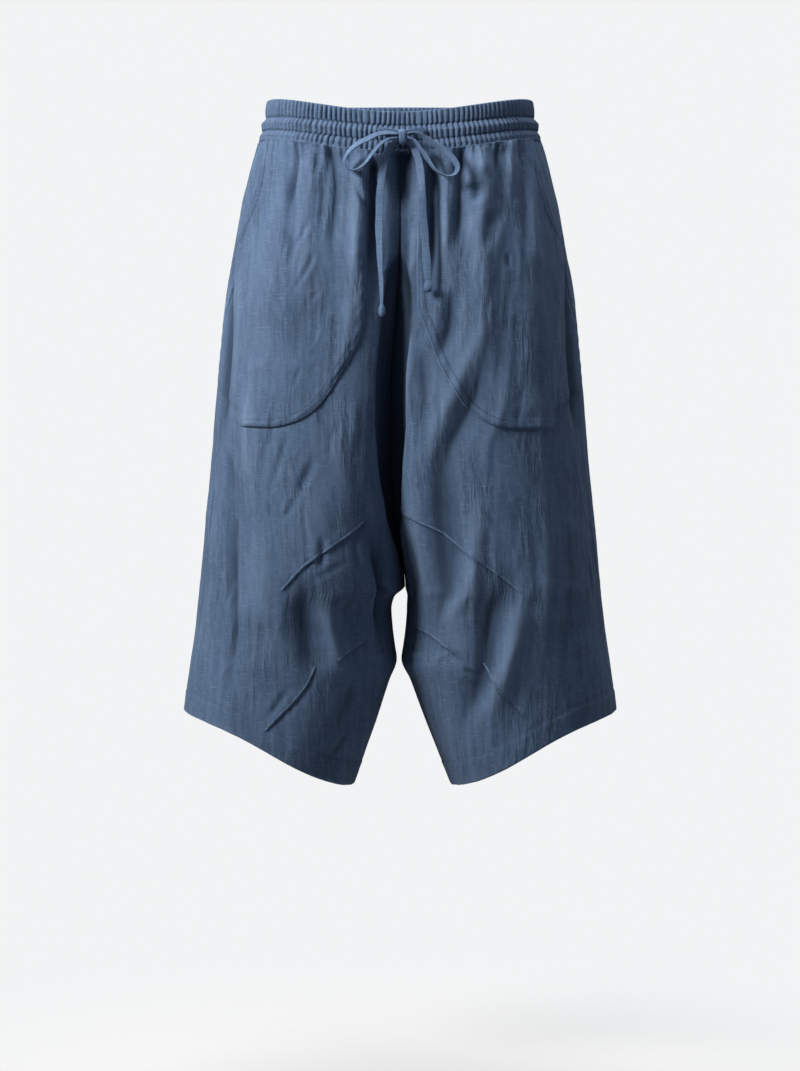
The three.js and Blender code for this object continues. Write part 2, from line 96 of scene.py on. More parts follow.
# Share of the tape's width and thickness along it; a tail ends in a small pulled knot
TAPE_SHAPE = {
    "root": [(0, 0.66, 0.7), (0.2, 0.8, 1), (1, 0.6, 1.1)],
    "loop": [(0, 0.5, 1.3), (0.08, 0.86, 1), (0.5, 1, 1), (0.92, 0.86, 1), (1, 0.5, 1.3)],
    "tail": [(0, 0.6, 1.3), (0.1, 0.95, 1), (0.9, 1, 1), (0.935, 0.72, 1.3), (0.958, 1.0, 3.4),
             (0.985, 1.02, 3.8), (1, 0.7, 2.4)],
}
KNOT_CENTRE = (2.7, -126.5, -26.1)
KNOT_RADII = (7.2, 6.3, 8.8)
MM = 0.001


def curve_part(t, span, values, slopes, row):
    """Smooth curve from one row of values to the next, where t goes from 0 to 1"""
    return ((2 * t**3 - 3 * t**2 + 1) * values[row] + (3 * t**2 - 2 * t**3) * values[row + 1]
            + span * ((t**3 - 2 * t**2 + t) * slopes[row] + (t**3 - t**2) * slopes[row + 1]))


def smooth_line(points, step=1.0):
    """Points a step apart on a smooth curve through the given ones"""
    points = np.array(points, float)
    chord = np.linalg.norm(np.diff(points, axis=0), axis=1) ** 0.5
    at = np.concatenate([[0], np.cumsum(chord)])
    slope = np.diff(points, axis=0) / chord[:, None]
    wide = (points[2:] - points[:-2]) / (at[2:] - at[:-2])[:, None]
    tangent = np.vstack([slope[:1], slope[:-1] - wide + slope[1:], slope[-1:]])
    fine = []
    for i in range(len(chord)):
        fine.append(curve_part(np.linspace(0, 1, 25)[:, None], chord[i], points, tangent, i))
    return even_line(np.vstack(fine), step)


def lengths_along(line):
    """Length from the start of a line to each of its points"""
    return np.concatenate([[0], np.cumsum(np.linalg.norm(np.diff(line, axis=0), axis=1))])


def even_line(points, step):
    """The same line with its points an even step apart"""
    length = lengths_along(points)
    count = max(int(round(length[-1] / step)), 2)
    at = np.linspace(0, length[-1], count + 1)
    return np.stack([np.interp(at, length, points[:, k]) for k in range(points.shape[1])], axis=1)


def bell(away, width):
    """1 in the middle, falling off smoothly on both sides"""
    return np.exp(-((away / width) ** 2))


def unit(vectors):
    """The same ways, each of length 1"""
    return vectors / np.maximum(np.linalg.norm(vectors, axis=-1, keepdims=True), 1e-9)


def grid_faces(rows, columns, closed=False):
    """Corners of a grid's faces as point numbers, and as rows and columns of the cloth's own map"""
    j, i = np.mgrid[0 : rows - 1, 0 : columns if closed else columns - 1]
    row = np.stack([j, j + 1, j + 1, j], axis=-1).reshape(-1, 4)
    column = np.stack([i, i, i + 1, i + 1], axis=-1).reshape(-1, 4)
    return row * columns + column % columns, row, column


def soft_piece(name, places, faces, face_uvs, rubbed_and_shaded=None):
    """A mesh object in metres from places in millimetres, with its own cloth map and an attribute of
    rubbing and painted shade
    """
    mesh = bpy.data.meshes.new(name)
    mesh.from_pydata((np.asarray(places) * MM).tolist(), [], [list(f) for f in faces])
    layer = mesh.uv_layers.new(name="cloth")
    flat = np.concatenate([np.asarray(uv, float).reshape(-1, 2) for uv in face_uvs]) * MM
    layer.data.foreach_set("uv", flat.ravel())
    # One attribute holds both the rubbing of the cloth and its painted shade
    rub_and_shade_layer = mesh.attributes.new("rubbed_and_shaded", "FLOAT", "POINT")
    values = np.full(len(mesh.vertices), 0.5) if rubbed_and_shaded is None else rubbed_and_shaded
    rub_and_shade_layer.data.foreach_set("value", np.asarray(values, float))
    mesh.polygons.foreach_set("use_smooth", [True] * len(mesh.polygons))
    mesh.update()
    piece = bpy.data.objects.new(name, mesh)
    bpy.context.collection.objects.link(piece)
    return piece


def linear(code):
    """Linear colour of an sRGB hex code"""
    parts = [int(code[i : i + 2], 16) / 255 for i in (1, 3, 5)]
    lin = [c / 12.92 if c <= 0.04045 else ((c + 0.055) / 1.055) ** 2.4 for c in parts]
    return (*lin, 1)


def add_node(tree, kind, inputs=None, **settings):
    """A shader node with its settings, and with its inputs set to values or linked to outputs"""
    made = tree.nodes.new(f"ShaderNode{kind}")
    for name, value in settings.items():
        setattr(made, name, value)
    for socket, source in (inputs or {}).items():
        if isinstance(source, bpy.types.NodeSocket):
            tree.links.new(source, made.inputs[socket])
        else:
            made.inputs[socket].default_value = source
    return made


# Washed plain-weave linen. Uneven flax yarns give it short thick threads both ways, a matt face
# with a faint bloom, small crinkles from washing and ridges paler from rubbing; its creases and
# hollows are darkened with painted shade. The yarns of about 0.5 mm are drawn 1.1 mm apart,
# because finer ones would not show in the render.
YARN = 1.1 * MM
LINEN_COLOURS = {"base": "#4a6180", "pale": "#738aa9", "deep": "#26374e"}
TAPE_COLOURS = {"base": "#526a8b", "pale": "#7b92b1", "deep": "#2e425d"}
# Each pattern's size across and down the cloth in metres, the noise levels that it is spread
# between, its detail and its lean
STREAKS = {
    "weft": (0.020, 0.0011, 0.61, 0.74, 2, 0), "warp": (0.0011, 0.026, 0.61, 0.76, 2, 0),
    "thin weft": (0.010, 0.0010, 0.54, 0.78, 1, 0), "thin warp": (0.0011, 0.016, 0.50, 0.76, 1, 0),
    "crinkle": (0.0075, 0.060, 0.36, 0.64, 3, 0), "crossed": (0.006, 0.028, 0.38, 0.66, 2, -0.35),
    "patches": (0.05, 0.08, 0.35, 0.65, 2, 0),
}
# How strongly each pattern is laid over the base, from the first to the last. The ridge and hollow
# layers follow the attribute that holds both rubbing and painted shade
LAYERS = [("patches", 0.20, "deep"), ("crinkle", 0.16, "pale"), ("crossed", 0.10, "deep"),
          ("thin warp", 0.26, "deep"), ("thin weft", 0.26, "pale"), ("warp", 0.16, "pale"),
          ("weft", 0.36, "pale"), ("ridge", 0.5, "pale"), ("hollow", 0.85, "deep")]


def linen_cloth(name, colours, crinkle):
    """Linen in its own map, whose crinkle is 1 for the washed cloth of the shorts and less for
    pressed tape
    """
    material = bpy.data.materials.new(name)
    material.use_nodes = True
    tree = material.node_tree
    shader = tree.nodes["Principled BSDF"]
    cloth = add_node(tree, "UVMap", uv_map="cloth").outputs["UV"]
    pattern = {}
    for label, (across, down, low, high, detail, lean) in STREAKS.items():
        leaned = add_node(tree, "Mapping", {"Vector": cloth, "Rotation": (0, 0, lean)})
        sized = add_node(tree, "Mapping", {"Vector": leaned.outputs["Vector"],
                         "Scale": (1 / across, 1 / down, 1)})
        noise = add_node(tree, "TexNoise", {"Vector": sized.outputs["Vector"],
                         "Scale": 1.0, "Detail": detail}, noise_dimensions="2D")
        spread = add_node(tree, "MapRange", {"Value": noise.outputs["Fac"],
                          "From Min": low, "From Max": high}, interpolation_type="SMOOTHSTEP")
        pattern[label] = spread.outputs["Result"]
    # The attribute holds the cloth's rubbing and its painted shade
    rubbed_and_shaded = add_node(tree, "Attribute", attribute_name="rubbed_and_shaded").outputs["Fac"]
    for label, end in (("ridge", 1.0), ("hollow", 0.0)):
        spread = add_node(tree, "MapRange", {"Value": rubbed_and_shaded, "From Min": 0.5,
                          "From Max": end})
        pattern[label] = spread.outputs["Result"]
    colour = linear(colours["base"])
    for label, amount, over in LAYERS:
        part = add_node(tree, "Math", {0: pattern[label], 1: amount},
                        operation="MULTIPLY")
        colour = add_node(tree, "Mix", {0: part.outputs[0], 6: colour,
                          7: linear(colours[over])}, data_type="RGBA").outputs[2]
    tree.links.new(colour, shader.inputs["Base Color"])

    # A wave texture has a ridge every 2 pi / 20 of its scale
    waves = [add_node(tree, "TexWave", {"Vector": cloth, "Scale": 2 * pi / 20 / YARN,
             "Distortion": 1.2, "Detail": 1.0, "Detail Scale": 0.35},
             bands_direction=way).outputs["Fac"] for way in ("X", "Y")]
    weave = add_node(tree, "Math", {0: waves[0], 1: waves[1]}, operation="ADD")
    thick = add_node(tree, "Math", {0: pattern["weft"], 1: pattern["warp"]},
                     operation="ADD")
    yarns = add_node(tree, "Math", {0: thick.outputs[0], 1: 1.6, 2: weave.outputs[0]},
                     operation="MULTIPLY_ADD")
    creased = add_node(tree, "Math", {0: pattern["crossed"], 1: -0.5,
                       2: pattern["crinkle"]}, operation="MULTIPLY_ADD")
    uneven = add_node(tree, "Math", {0: creased.outputs[0], 1: pattern["patches"]},
                      operation="MULTIPLY")
    soft = add_node(tree, "Bump", {"Height": uneven.outputs[0], "Strength": 1.0,
                    "Distance": 0.7 * MM * crinkle})
    fine = add_node(tree, "Bump", {"Height": yarns.outputs[0], "Strength": 0.6,
                    "Distance": 0.12 * MM, "Normal": soft.outputs["Normal"]})
    tree.links.new(fine.outputs["Normal"], shader.inputs["Normal"])
    shader.inputs["Roughness"].default_value = 0.88
    shader.inputs["Specular IOR Level"].default_value = 0.25
    shader.inputs["Sheen Weight"].default_value = 0.12
    shader.inputs["Sheen Roughness"].default_value = 0.5
    shader.inputs["Sheen Tint"].default_value = linear("#a9b8d2")
    return material


linen = linen_cloth("washed_linen", LINEN_COLOURS, crinkle=1.0)
tape_linen = linen_cloth("folded_linen_tape", TAPE_COLOURS, crinkle=0.2)


def tape_piece(name):
    """One stretch of the tape round its line, with that line and its length in metres"""
    kind = name.split("_")[0]
    line = smooth_line(TAPE_ROUTES[name])
    share = np.linspace(0, 1, len(line))
    tangent = unit(np.gradient(line, axis=0))
    front = unit(np.array([0.0, -1.0, 0.0]) + tangent * tangent[:, 1:2])
    aside = np.cross(tangent, front)
    turn = np.radians(np.interp(share, *np.array(TAPE_TURNS[name], float).T))[:, None]
    face = front * np.cos(turn) + aside * np.sin(turn)
    across = np.cross(tangent, face)
    at, wide, thick = np.array(TAPE_SHAPE[kind], float).T
    wide, thick = (np.interp(share, at, size)[:, None, None] for size in (wide, thick))
    angle = np.arange(TAPE_CORNERS) / TAPE_CORNERS * 2 * pi
    a = np.sign(np.cos(angle)) * np.abs(np.cos(angle)) ** 0.5 * TAPE_WIDTH / 2
    b = np.sign(np.sin(angle)) * np.abs(np.sin(angle)) ** 0.8 * TAPE_THICKNESS / 2
    # The sewn edge lies 1.4 mm in, and the folded middle is a little hollow
    b = b * (1 - 0.22 * bell(np.abs(a) - 3.1, 0.5) - 0.12 * bell(a, 2.2))
    a, b = a[None, :, None], b[None, :, None]
    wobble = 1 + 0.05 * np.sin(share * len(line) / 5.3)[:, None, None]
    rings = line[:, None] + across[:, None] * a * wide * wobble + face[:, None] * b * thick
    for end, inward in ((0, 1), (-1, -1)):
        closer = rings[end] * 0.55 + line[end] * 0.45 - inward * tangent[end] * TAPE_THICKNESS * 0.35
        rings = np.concatenate([closer[None], rings] if end == 0 else [rings, closer[None]])
    rows = len(rings)
    faces, row, column = grid_faces(rows, TAPE_CORNERS, closed=True)
    around = column / TAPE_CORNERS * 2 * (TAPE_WIDTH + TAPE_THICKNESS)
    uvs = np.stack([around, row * 1.0], axis=-1)
    first = list(range(TAPE_CORNERS))
    last = [(rows - 1) * TAPE_CORNERS + i for i in reversed(first)]
    caps = np.zeros((2 * TAPE_CORNERS, 2))
    piece = soft_piece(f"tape_{name}", rings.reshape(-1, 3), [*faces, first, last], [uvs, caps])
    piece.data.materials.append(tape_linen)
    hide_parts(name)
    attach(piece, "root")
    length = np.linalg.norm(np.diff(line, axis=0), axis=1).sum() * MM
    return piece, line * MM, length


# The knot is the same tape, pulled tight once round the crossing
bpy.ops.object.select_all(action="DESELECT")
bpy.ops.mesh.primitive_uv_sphere_add(segments=56, ring_count=36, radius=1)
knot = bpy.context.object
knot.name = "tied_knot"
ball = np.array([v.co for v in knot.data.vertices])
boxy = np.sign(ball) * np.abs(ball) ** np.array([0.72, 0.85, 0.85])
lean = boxy[:, 0] + 0.16 * boxy[:, 2]
wrap = 1 / (1 + np.exp((np.abs(lean) - 0.66) * 16))
groove = bell(np.abs(lean) - 0.74, 0.09)
swell = 0.84 + 0.14 * wrap - 0.13 * groove - 0.04 * bell(lean, 0.1)
waist = 1 - 0.10 * bell(boxy[:, 2] - 0.1, 0.45) * (np.abs(boxy[:, 0]) > 0.3)
formed = boxy * swell[:, None]
formed[:, 0] *= waist
formed = formed * np.array(KNOT_RADII) + np.array(KNOT_CENTRE)
knot.data.vertices.foreach_set("co", (formed * MM).ravel())
knot.data.polygons.foreach_set("use_smooth", [True] * len(knot.data.polygons))
map_layer = knot.data.uv_layers.active
map_layer.name = "cloth"
for loop in knot.data.loops:
    place = formed[loop.vertex_index]
    map_layer.data[loop.index].uv = ((place[0] + 0.4 * place[1]) * MM, place[2] * MM)
# The grooves where the tape wraps round are darkened with painted shade
knot_groove_shade = knot.data.attributes.new("rubbed_and_shaded", "FLOAT", "POINT")
knot_groove_shade.data.foreach_set("value", 0.55 - 0.4 * groove)
knot.data.materials.append(tape_linen)
knot.data.update()
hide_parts("knot")
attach(knot, "root")

root_right = tape_piece("root_right")[0]
root_left = tape_piece("root_left")[0]
for label in ("right", "left"):
    loop, line, length = tape_piece(f"loop_{label}")
    tail, line, length = tape_piece(f"tail_{label}")


# Form of the worn shorts
# The body and legs are sections stacked from the waist to the hem, the same as in the solids. Each
# place on them has a side, a share of the way from the centre front to the centre back, and a height.
WAIST_SEAM, SIDE_HEM, HEM_TURN, SIDE_SEAM_FORWARD = -24.0, -672.0, 24.0, 35.0
# The cloth dips at the centre front and rises at the centre back, less and less down to a height
FRONT_DIP, BACK_RISE, DIP_END = 19.0, 3.0, -220.0
# The hem falls from the side to the inside leg in a slight wave. So do the levels over it, which
# drop by these amounts at the inside leg
HEM_MIDDLE, HEM_CURVE, HEM_SWEEP = -710.0, 1.12, 0.045
LEVEL_DROPS = np.array([(-24, 0), (-240, 26), (-468, 63), (-672, 86)], float)
# Height, half width, front, back, front peak, back peak, front seam, back seam, inner, lip, shift
SECTIONS = np.array([
    (-24, 161, 118, 118, 34, 34, 118, 118, 0, 2.0, 0),
    (-60, 172, 128, 134, 48, 50, 122, 132, 0, 2.0, 0),
    (-110, 183.5, 135, 148, 60, 66, 119, 143, 0, 2.2, 0),
    (-160, 192, 140, 155, 72, 82, 112, 146, 0, 2.6, -1),
    (-220, 200, 143, 158, 76, 88, 100, 140, 0, 3.0, -4),
    (-300, 209, 145, 156, 84, 96, 80, 120, 0, 3.0, -10),
    (-380, 216, 146, 152, 92, 102, 58, 90, 0, 2.8, -11),
    (-450, 222.5, 145, 147, 100, 108, 36, 58, 0, 2.6, -7),
    (-500, 227.5, 143, 143, 106, 112, 16, 28, 0, 2.5, 2),
    (-531, 230.5, 141, 140, 112, 116, 0, 0, 0, 2.4, 6),
    (-544, 232, 140, 138, 114, 118, 0, 0, 7.5, 2.3, 1),
    (-558, 233.5, 139, 136, 116, 119, 0, 0, 8.8, 2.2, -1),
    (-578, 235.5, 136, 134, 118, 120, 0, 0, 7.5, 2.2, -1),
    (-600, 238.5, 134, 131, 121, 123, 0, 0, 4.8, 2.2, -1),
    (-616, 241, 133, 129, 122, 124, 0, 0, 2.6, 2.2, -1),
    (-640, 244.5, 130, 125, 127, 128, 0, 0, 12, 2.2, 0),
    (-683, 250, 126, 119, 136, 136, 0, 0, 27, 2.2, 1),
    (-760, 259, 118, 110, 154, 154, 0, 0, 56, 2.2, 3.5),
], float)
SIDE_POWER = 2.2
ARC_STEPS = 90


def smooth_step(value):
    """From 0 to 1 without a kink, where the value goes from 0 to 1"""
    t = np.clip(value, 0, 1)
    return t * t * (3 - 2 * t)


def read_table(table, heights):
    """Every column of a table at each height, on a smooth curve through its rows"""
    at, values = table[:, 0], table[:, 1:]
    rise = np.diff(values, axis=0) / np.diff(at)[:, None]
    product = rise[:-1] * rise[1:]
    total = np.where(product > 0, rise[:-1] + rise[1:], 1)
    calm = np.where(product > 0, 2 * product / total, 0)
    slope = np.vstack([rise[:1], calm, rise[-1:]])
    heights = np.asarray(heights, float)
    row = np.clip(np.searchsorted(-at, -heights) - 1, 0, len(at) - 2)
    span = at[row + 1] - at[row]
    t = np.clip((heights - at[row]) / span, 0, 1)[..., None]
    return curve_part(t, span[..., None], values, slope, row)


# The outlines of all heights a millimetre apart, each with its points an even share apart
HEIGHTS = np.arange(-14.0, -768.0, -1.0)
SHARES = np.linspace(0, 1, 641)
(HALF_WIDTH, FRONT, BACK, FRONT_PEAK, BACK_PEAK, FRONT_SEAM, BACK_SEAM, INNER, LIP,
 SHIFT) = read_table(SECTIONS, HEIGHTS).T


def quarter(power, centre, cosine_reach, sine_reach):
    """Quarters of a rounded outline, one for each height, from 0 to 90 degrees"""
    angle = np.linspace(0, pi / 2, ARC_STEPS + 1)
    a = np.cos(angle) ** (2 / np.reshape(power, (-1, 1)))
    b = np.sin(angle) ** (2 / np.reshape(power, (-1, 1)))
    return np.stack([np.reshape(centre[k], (-1, 1)) + np.reshape(cosine_reach[k], (-1, 1)) * a
                     + np.reshape(sine_reach[k], (-1, 1)) * b for k in (0, 1)], axis=-1)


none = np.zeros_like(HEIGHTS)
side_power = none + SIDE_POWER
arcs = np.concatenate([
    quarter(LIP, (FRONT_PEAK, -FRONT_SEAM), (INNER - FRONT_PEAK, none), (none, FRONT_SEAM - FRONT)),
    quarter(side_power, (FRONT_PEAK, none), (none, -FRONT), (HALF_WIDTH - FRONT_PEAK, none)),
    quarter(side_power, (BACK_PEAK, none), (HALF_WIDTH - BACK_PEAK, none), (none, BACK)),
    quarter(LIP, (BACK_PEAK, BACK_SEAM), (none, BACK - BACK_SEAM), (INNER - BACK_PEAK, none)),
], axis=1)
steps = np.linalg.norm(np.diff(arcs, axis=1), axis=2)
LENGTHS = np.concatenate([np.zeros((len(HEIGHTS), 1)), np.cumsum(steps, axis=1)], axis=1)
GIRTH = LENGTHS[:, -1]
OUTLINES = np.empty((len(HEIGHTS), len(SHARES), 2))
SEAM_SHARE = np.empty(len(HEIGHTS))
side_arc = slice(ARC_STEPS + 1, 2 * ARC_STEPS + 2)
for k in range(len(HEIGHTS)):
    for axis in (0, 1):
        OUTLINES[k, :, axis] = np.interp(SHARES * GIRTH[k], LENGTHS[k], arcs[k, :, axis])
    seam_length = np.interp(-SIDE_SEAM_FORWARD, arcs[k, side_arc, 1], LENGTHS[k, side_arc])
    SEAM_SHARE[k] = seam_length / GIRTH[k]


def at_height(values, height):
    """Values known for all of HEIGHTS, read at other heights"""
    return np.interp(-height, -HEIGHTS, values)


def plain_place(side, share, height):
    """The point of the plain form, in millimetres"""
    row = np.clip(HEIGHTS[0] - height, 0, len(HEIGHTS) - 1.001)
    column = np.clip(share, 0, 1) * (len(SHARES) - 1.001)
    j, i = row.astype(int), column.astype(int)
    v, u = (row - j)[..., None], (column - i)[..., None]
    place = ((1 - v) * ((1 - u) * OUTLINES[j, i] + u * OUTLINES[j, i + 1])
             + v * ((1 - u) * OUTLINES[j + 1, i] + u * OUTLINES[j + 1, i + 1]))
    x, y = place[..., 0], place[..., 1]
    shift = at_height(SHIFT, height)
    return np.stack([side * x + shift * (1 - x / at_height(HALF_WIDTH, height)), y, height], axis=-1)


def plain_facing(side, share, height):
    """The way that the plain form faces, from its slope over a few millimetres"""
    around = (plain_place(side, np.minimum(share + 0.004, 1), height)
              - plain_place(side, np.maximum(share - 0.004, 0), height))
    down = plain_place(side, share, height - 2) - plain_place(side, share, height + 2)
    return -side * unit(np.cross(around, down))


def length_at(face, x, z):
    """Distance along the cloth from the centre front, or the centre back, to a place at x"""
    row = int(np.clip(round(HEIGHTS[0] - z), 0, len(HEIGHTS) - 1))
    xs = OUTLINES[row, :, 0] if face == "front" else OUTLINES[row, ::-1, 0]
    widest = int(np.argmax(xs))
    return float(np.interp(x, xs[: widest + 1], SHARES[: widest + 1])) * GIRTH[row]


# The warp runs straight down the middle of each panel, and distances across are taken from there
GRAIN_X = 100.0
GRAIN = {face: np.array([length_at(face, GRAIN_X, z) for z in HEIGHTS])
         for face in ("front", "back")}


def from_grain(face, share, height):
    """Distance across the cloth from the middle of a panel, towards the side seam"""
    length = (share if face == "front" else 1 - share) * at_height(GIRTH, height)
    return length - at_height(GRAIN[face], height)


def share_of(face, across, height):
    """The share of the way round at a distance from the middle of a panel"""
    length = (across + at_height(GRAIN[face], height)) / at_height(GIRTH, height)
    return length if face == "front" else 1 - length


# Folds and creases of the worn cloth
# The first table holds the large folds of the solids, and the second the creases that the cloth
# keeps from the gathers, the darts, wear and washing. A fold that sinks in has a negative depth.
# By face and side: top x, top z, bottom x, bottom z, width, depth
FOLDS = {
    ("front", -1): [
        (118, -24, 122, -190, 11, -4.5), (100, -24, 108, -330, 13, 4),
        (80, -24, 84, -150, 10, -5), (62, -24, 56, -130, 9, -4.5), (45, -26, 44, -300, 14, 8),
        (30, -26, 26, -260, 10, -6), (150, -90, 165, -440, 26, 5), (178, -360, 205, -650, 18, -5),
        (95, -400, 100, -560, 28, 5), (20, -440, 22, -612, 16, -14),
        (112, -505, 84, -665, 19, -10),
    ],
    ("front", 1): [
        (40, -26, 36, -230, 10, -6), (68, -24, 78, -230, 10, -5.5), (88, -24, 96, -340, 15, 6),
        (112, -24, 118, -170, 12, -5), (140, -60, 165, -480, 24, 5),
        (178, -150, 176, -470, 18, -3), (70, -470, 40, -640, 18, 6), (130, -540, 98, -720, 20, 6),
        (12, -440, 12, -600, 14, -3),
    ],
    ("back", -1): [
        (22, -26, 34, -300, 12, -6), (62, -24, 80, -220, 12, -5), (100, -24, 118, -380, 16, 6),
        (138, -40, 160, -300, 14, -5), (90, -300, 60, -600, 26, -8),
        (150, -380, 180, -700, 22, 6),
    ],
    ("back", 1): [
        (30, -26, 26, -240, 11, -5.5), (72, -24, 96, -330, 14, 6), (104, -24, 112, -200, 12, -5),
        (146, -50, 172, -420, 18, -5), (70, -280, 44, -580, 24, -8),
        (140, -420, 150, -720, 24, 6),
    ],
}
# Where a fold starts to fade and how soon it rises, as shares of its length; one that comes out of
# the waist seam rises sooner
FOLD_FADE, FOLD_RISE, WAIST_RISE, WAIST_FOLD = 0.4, 0.35, 0.1, -40
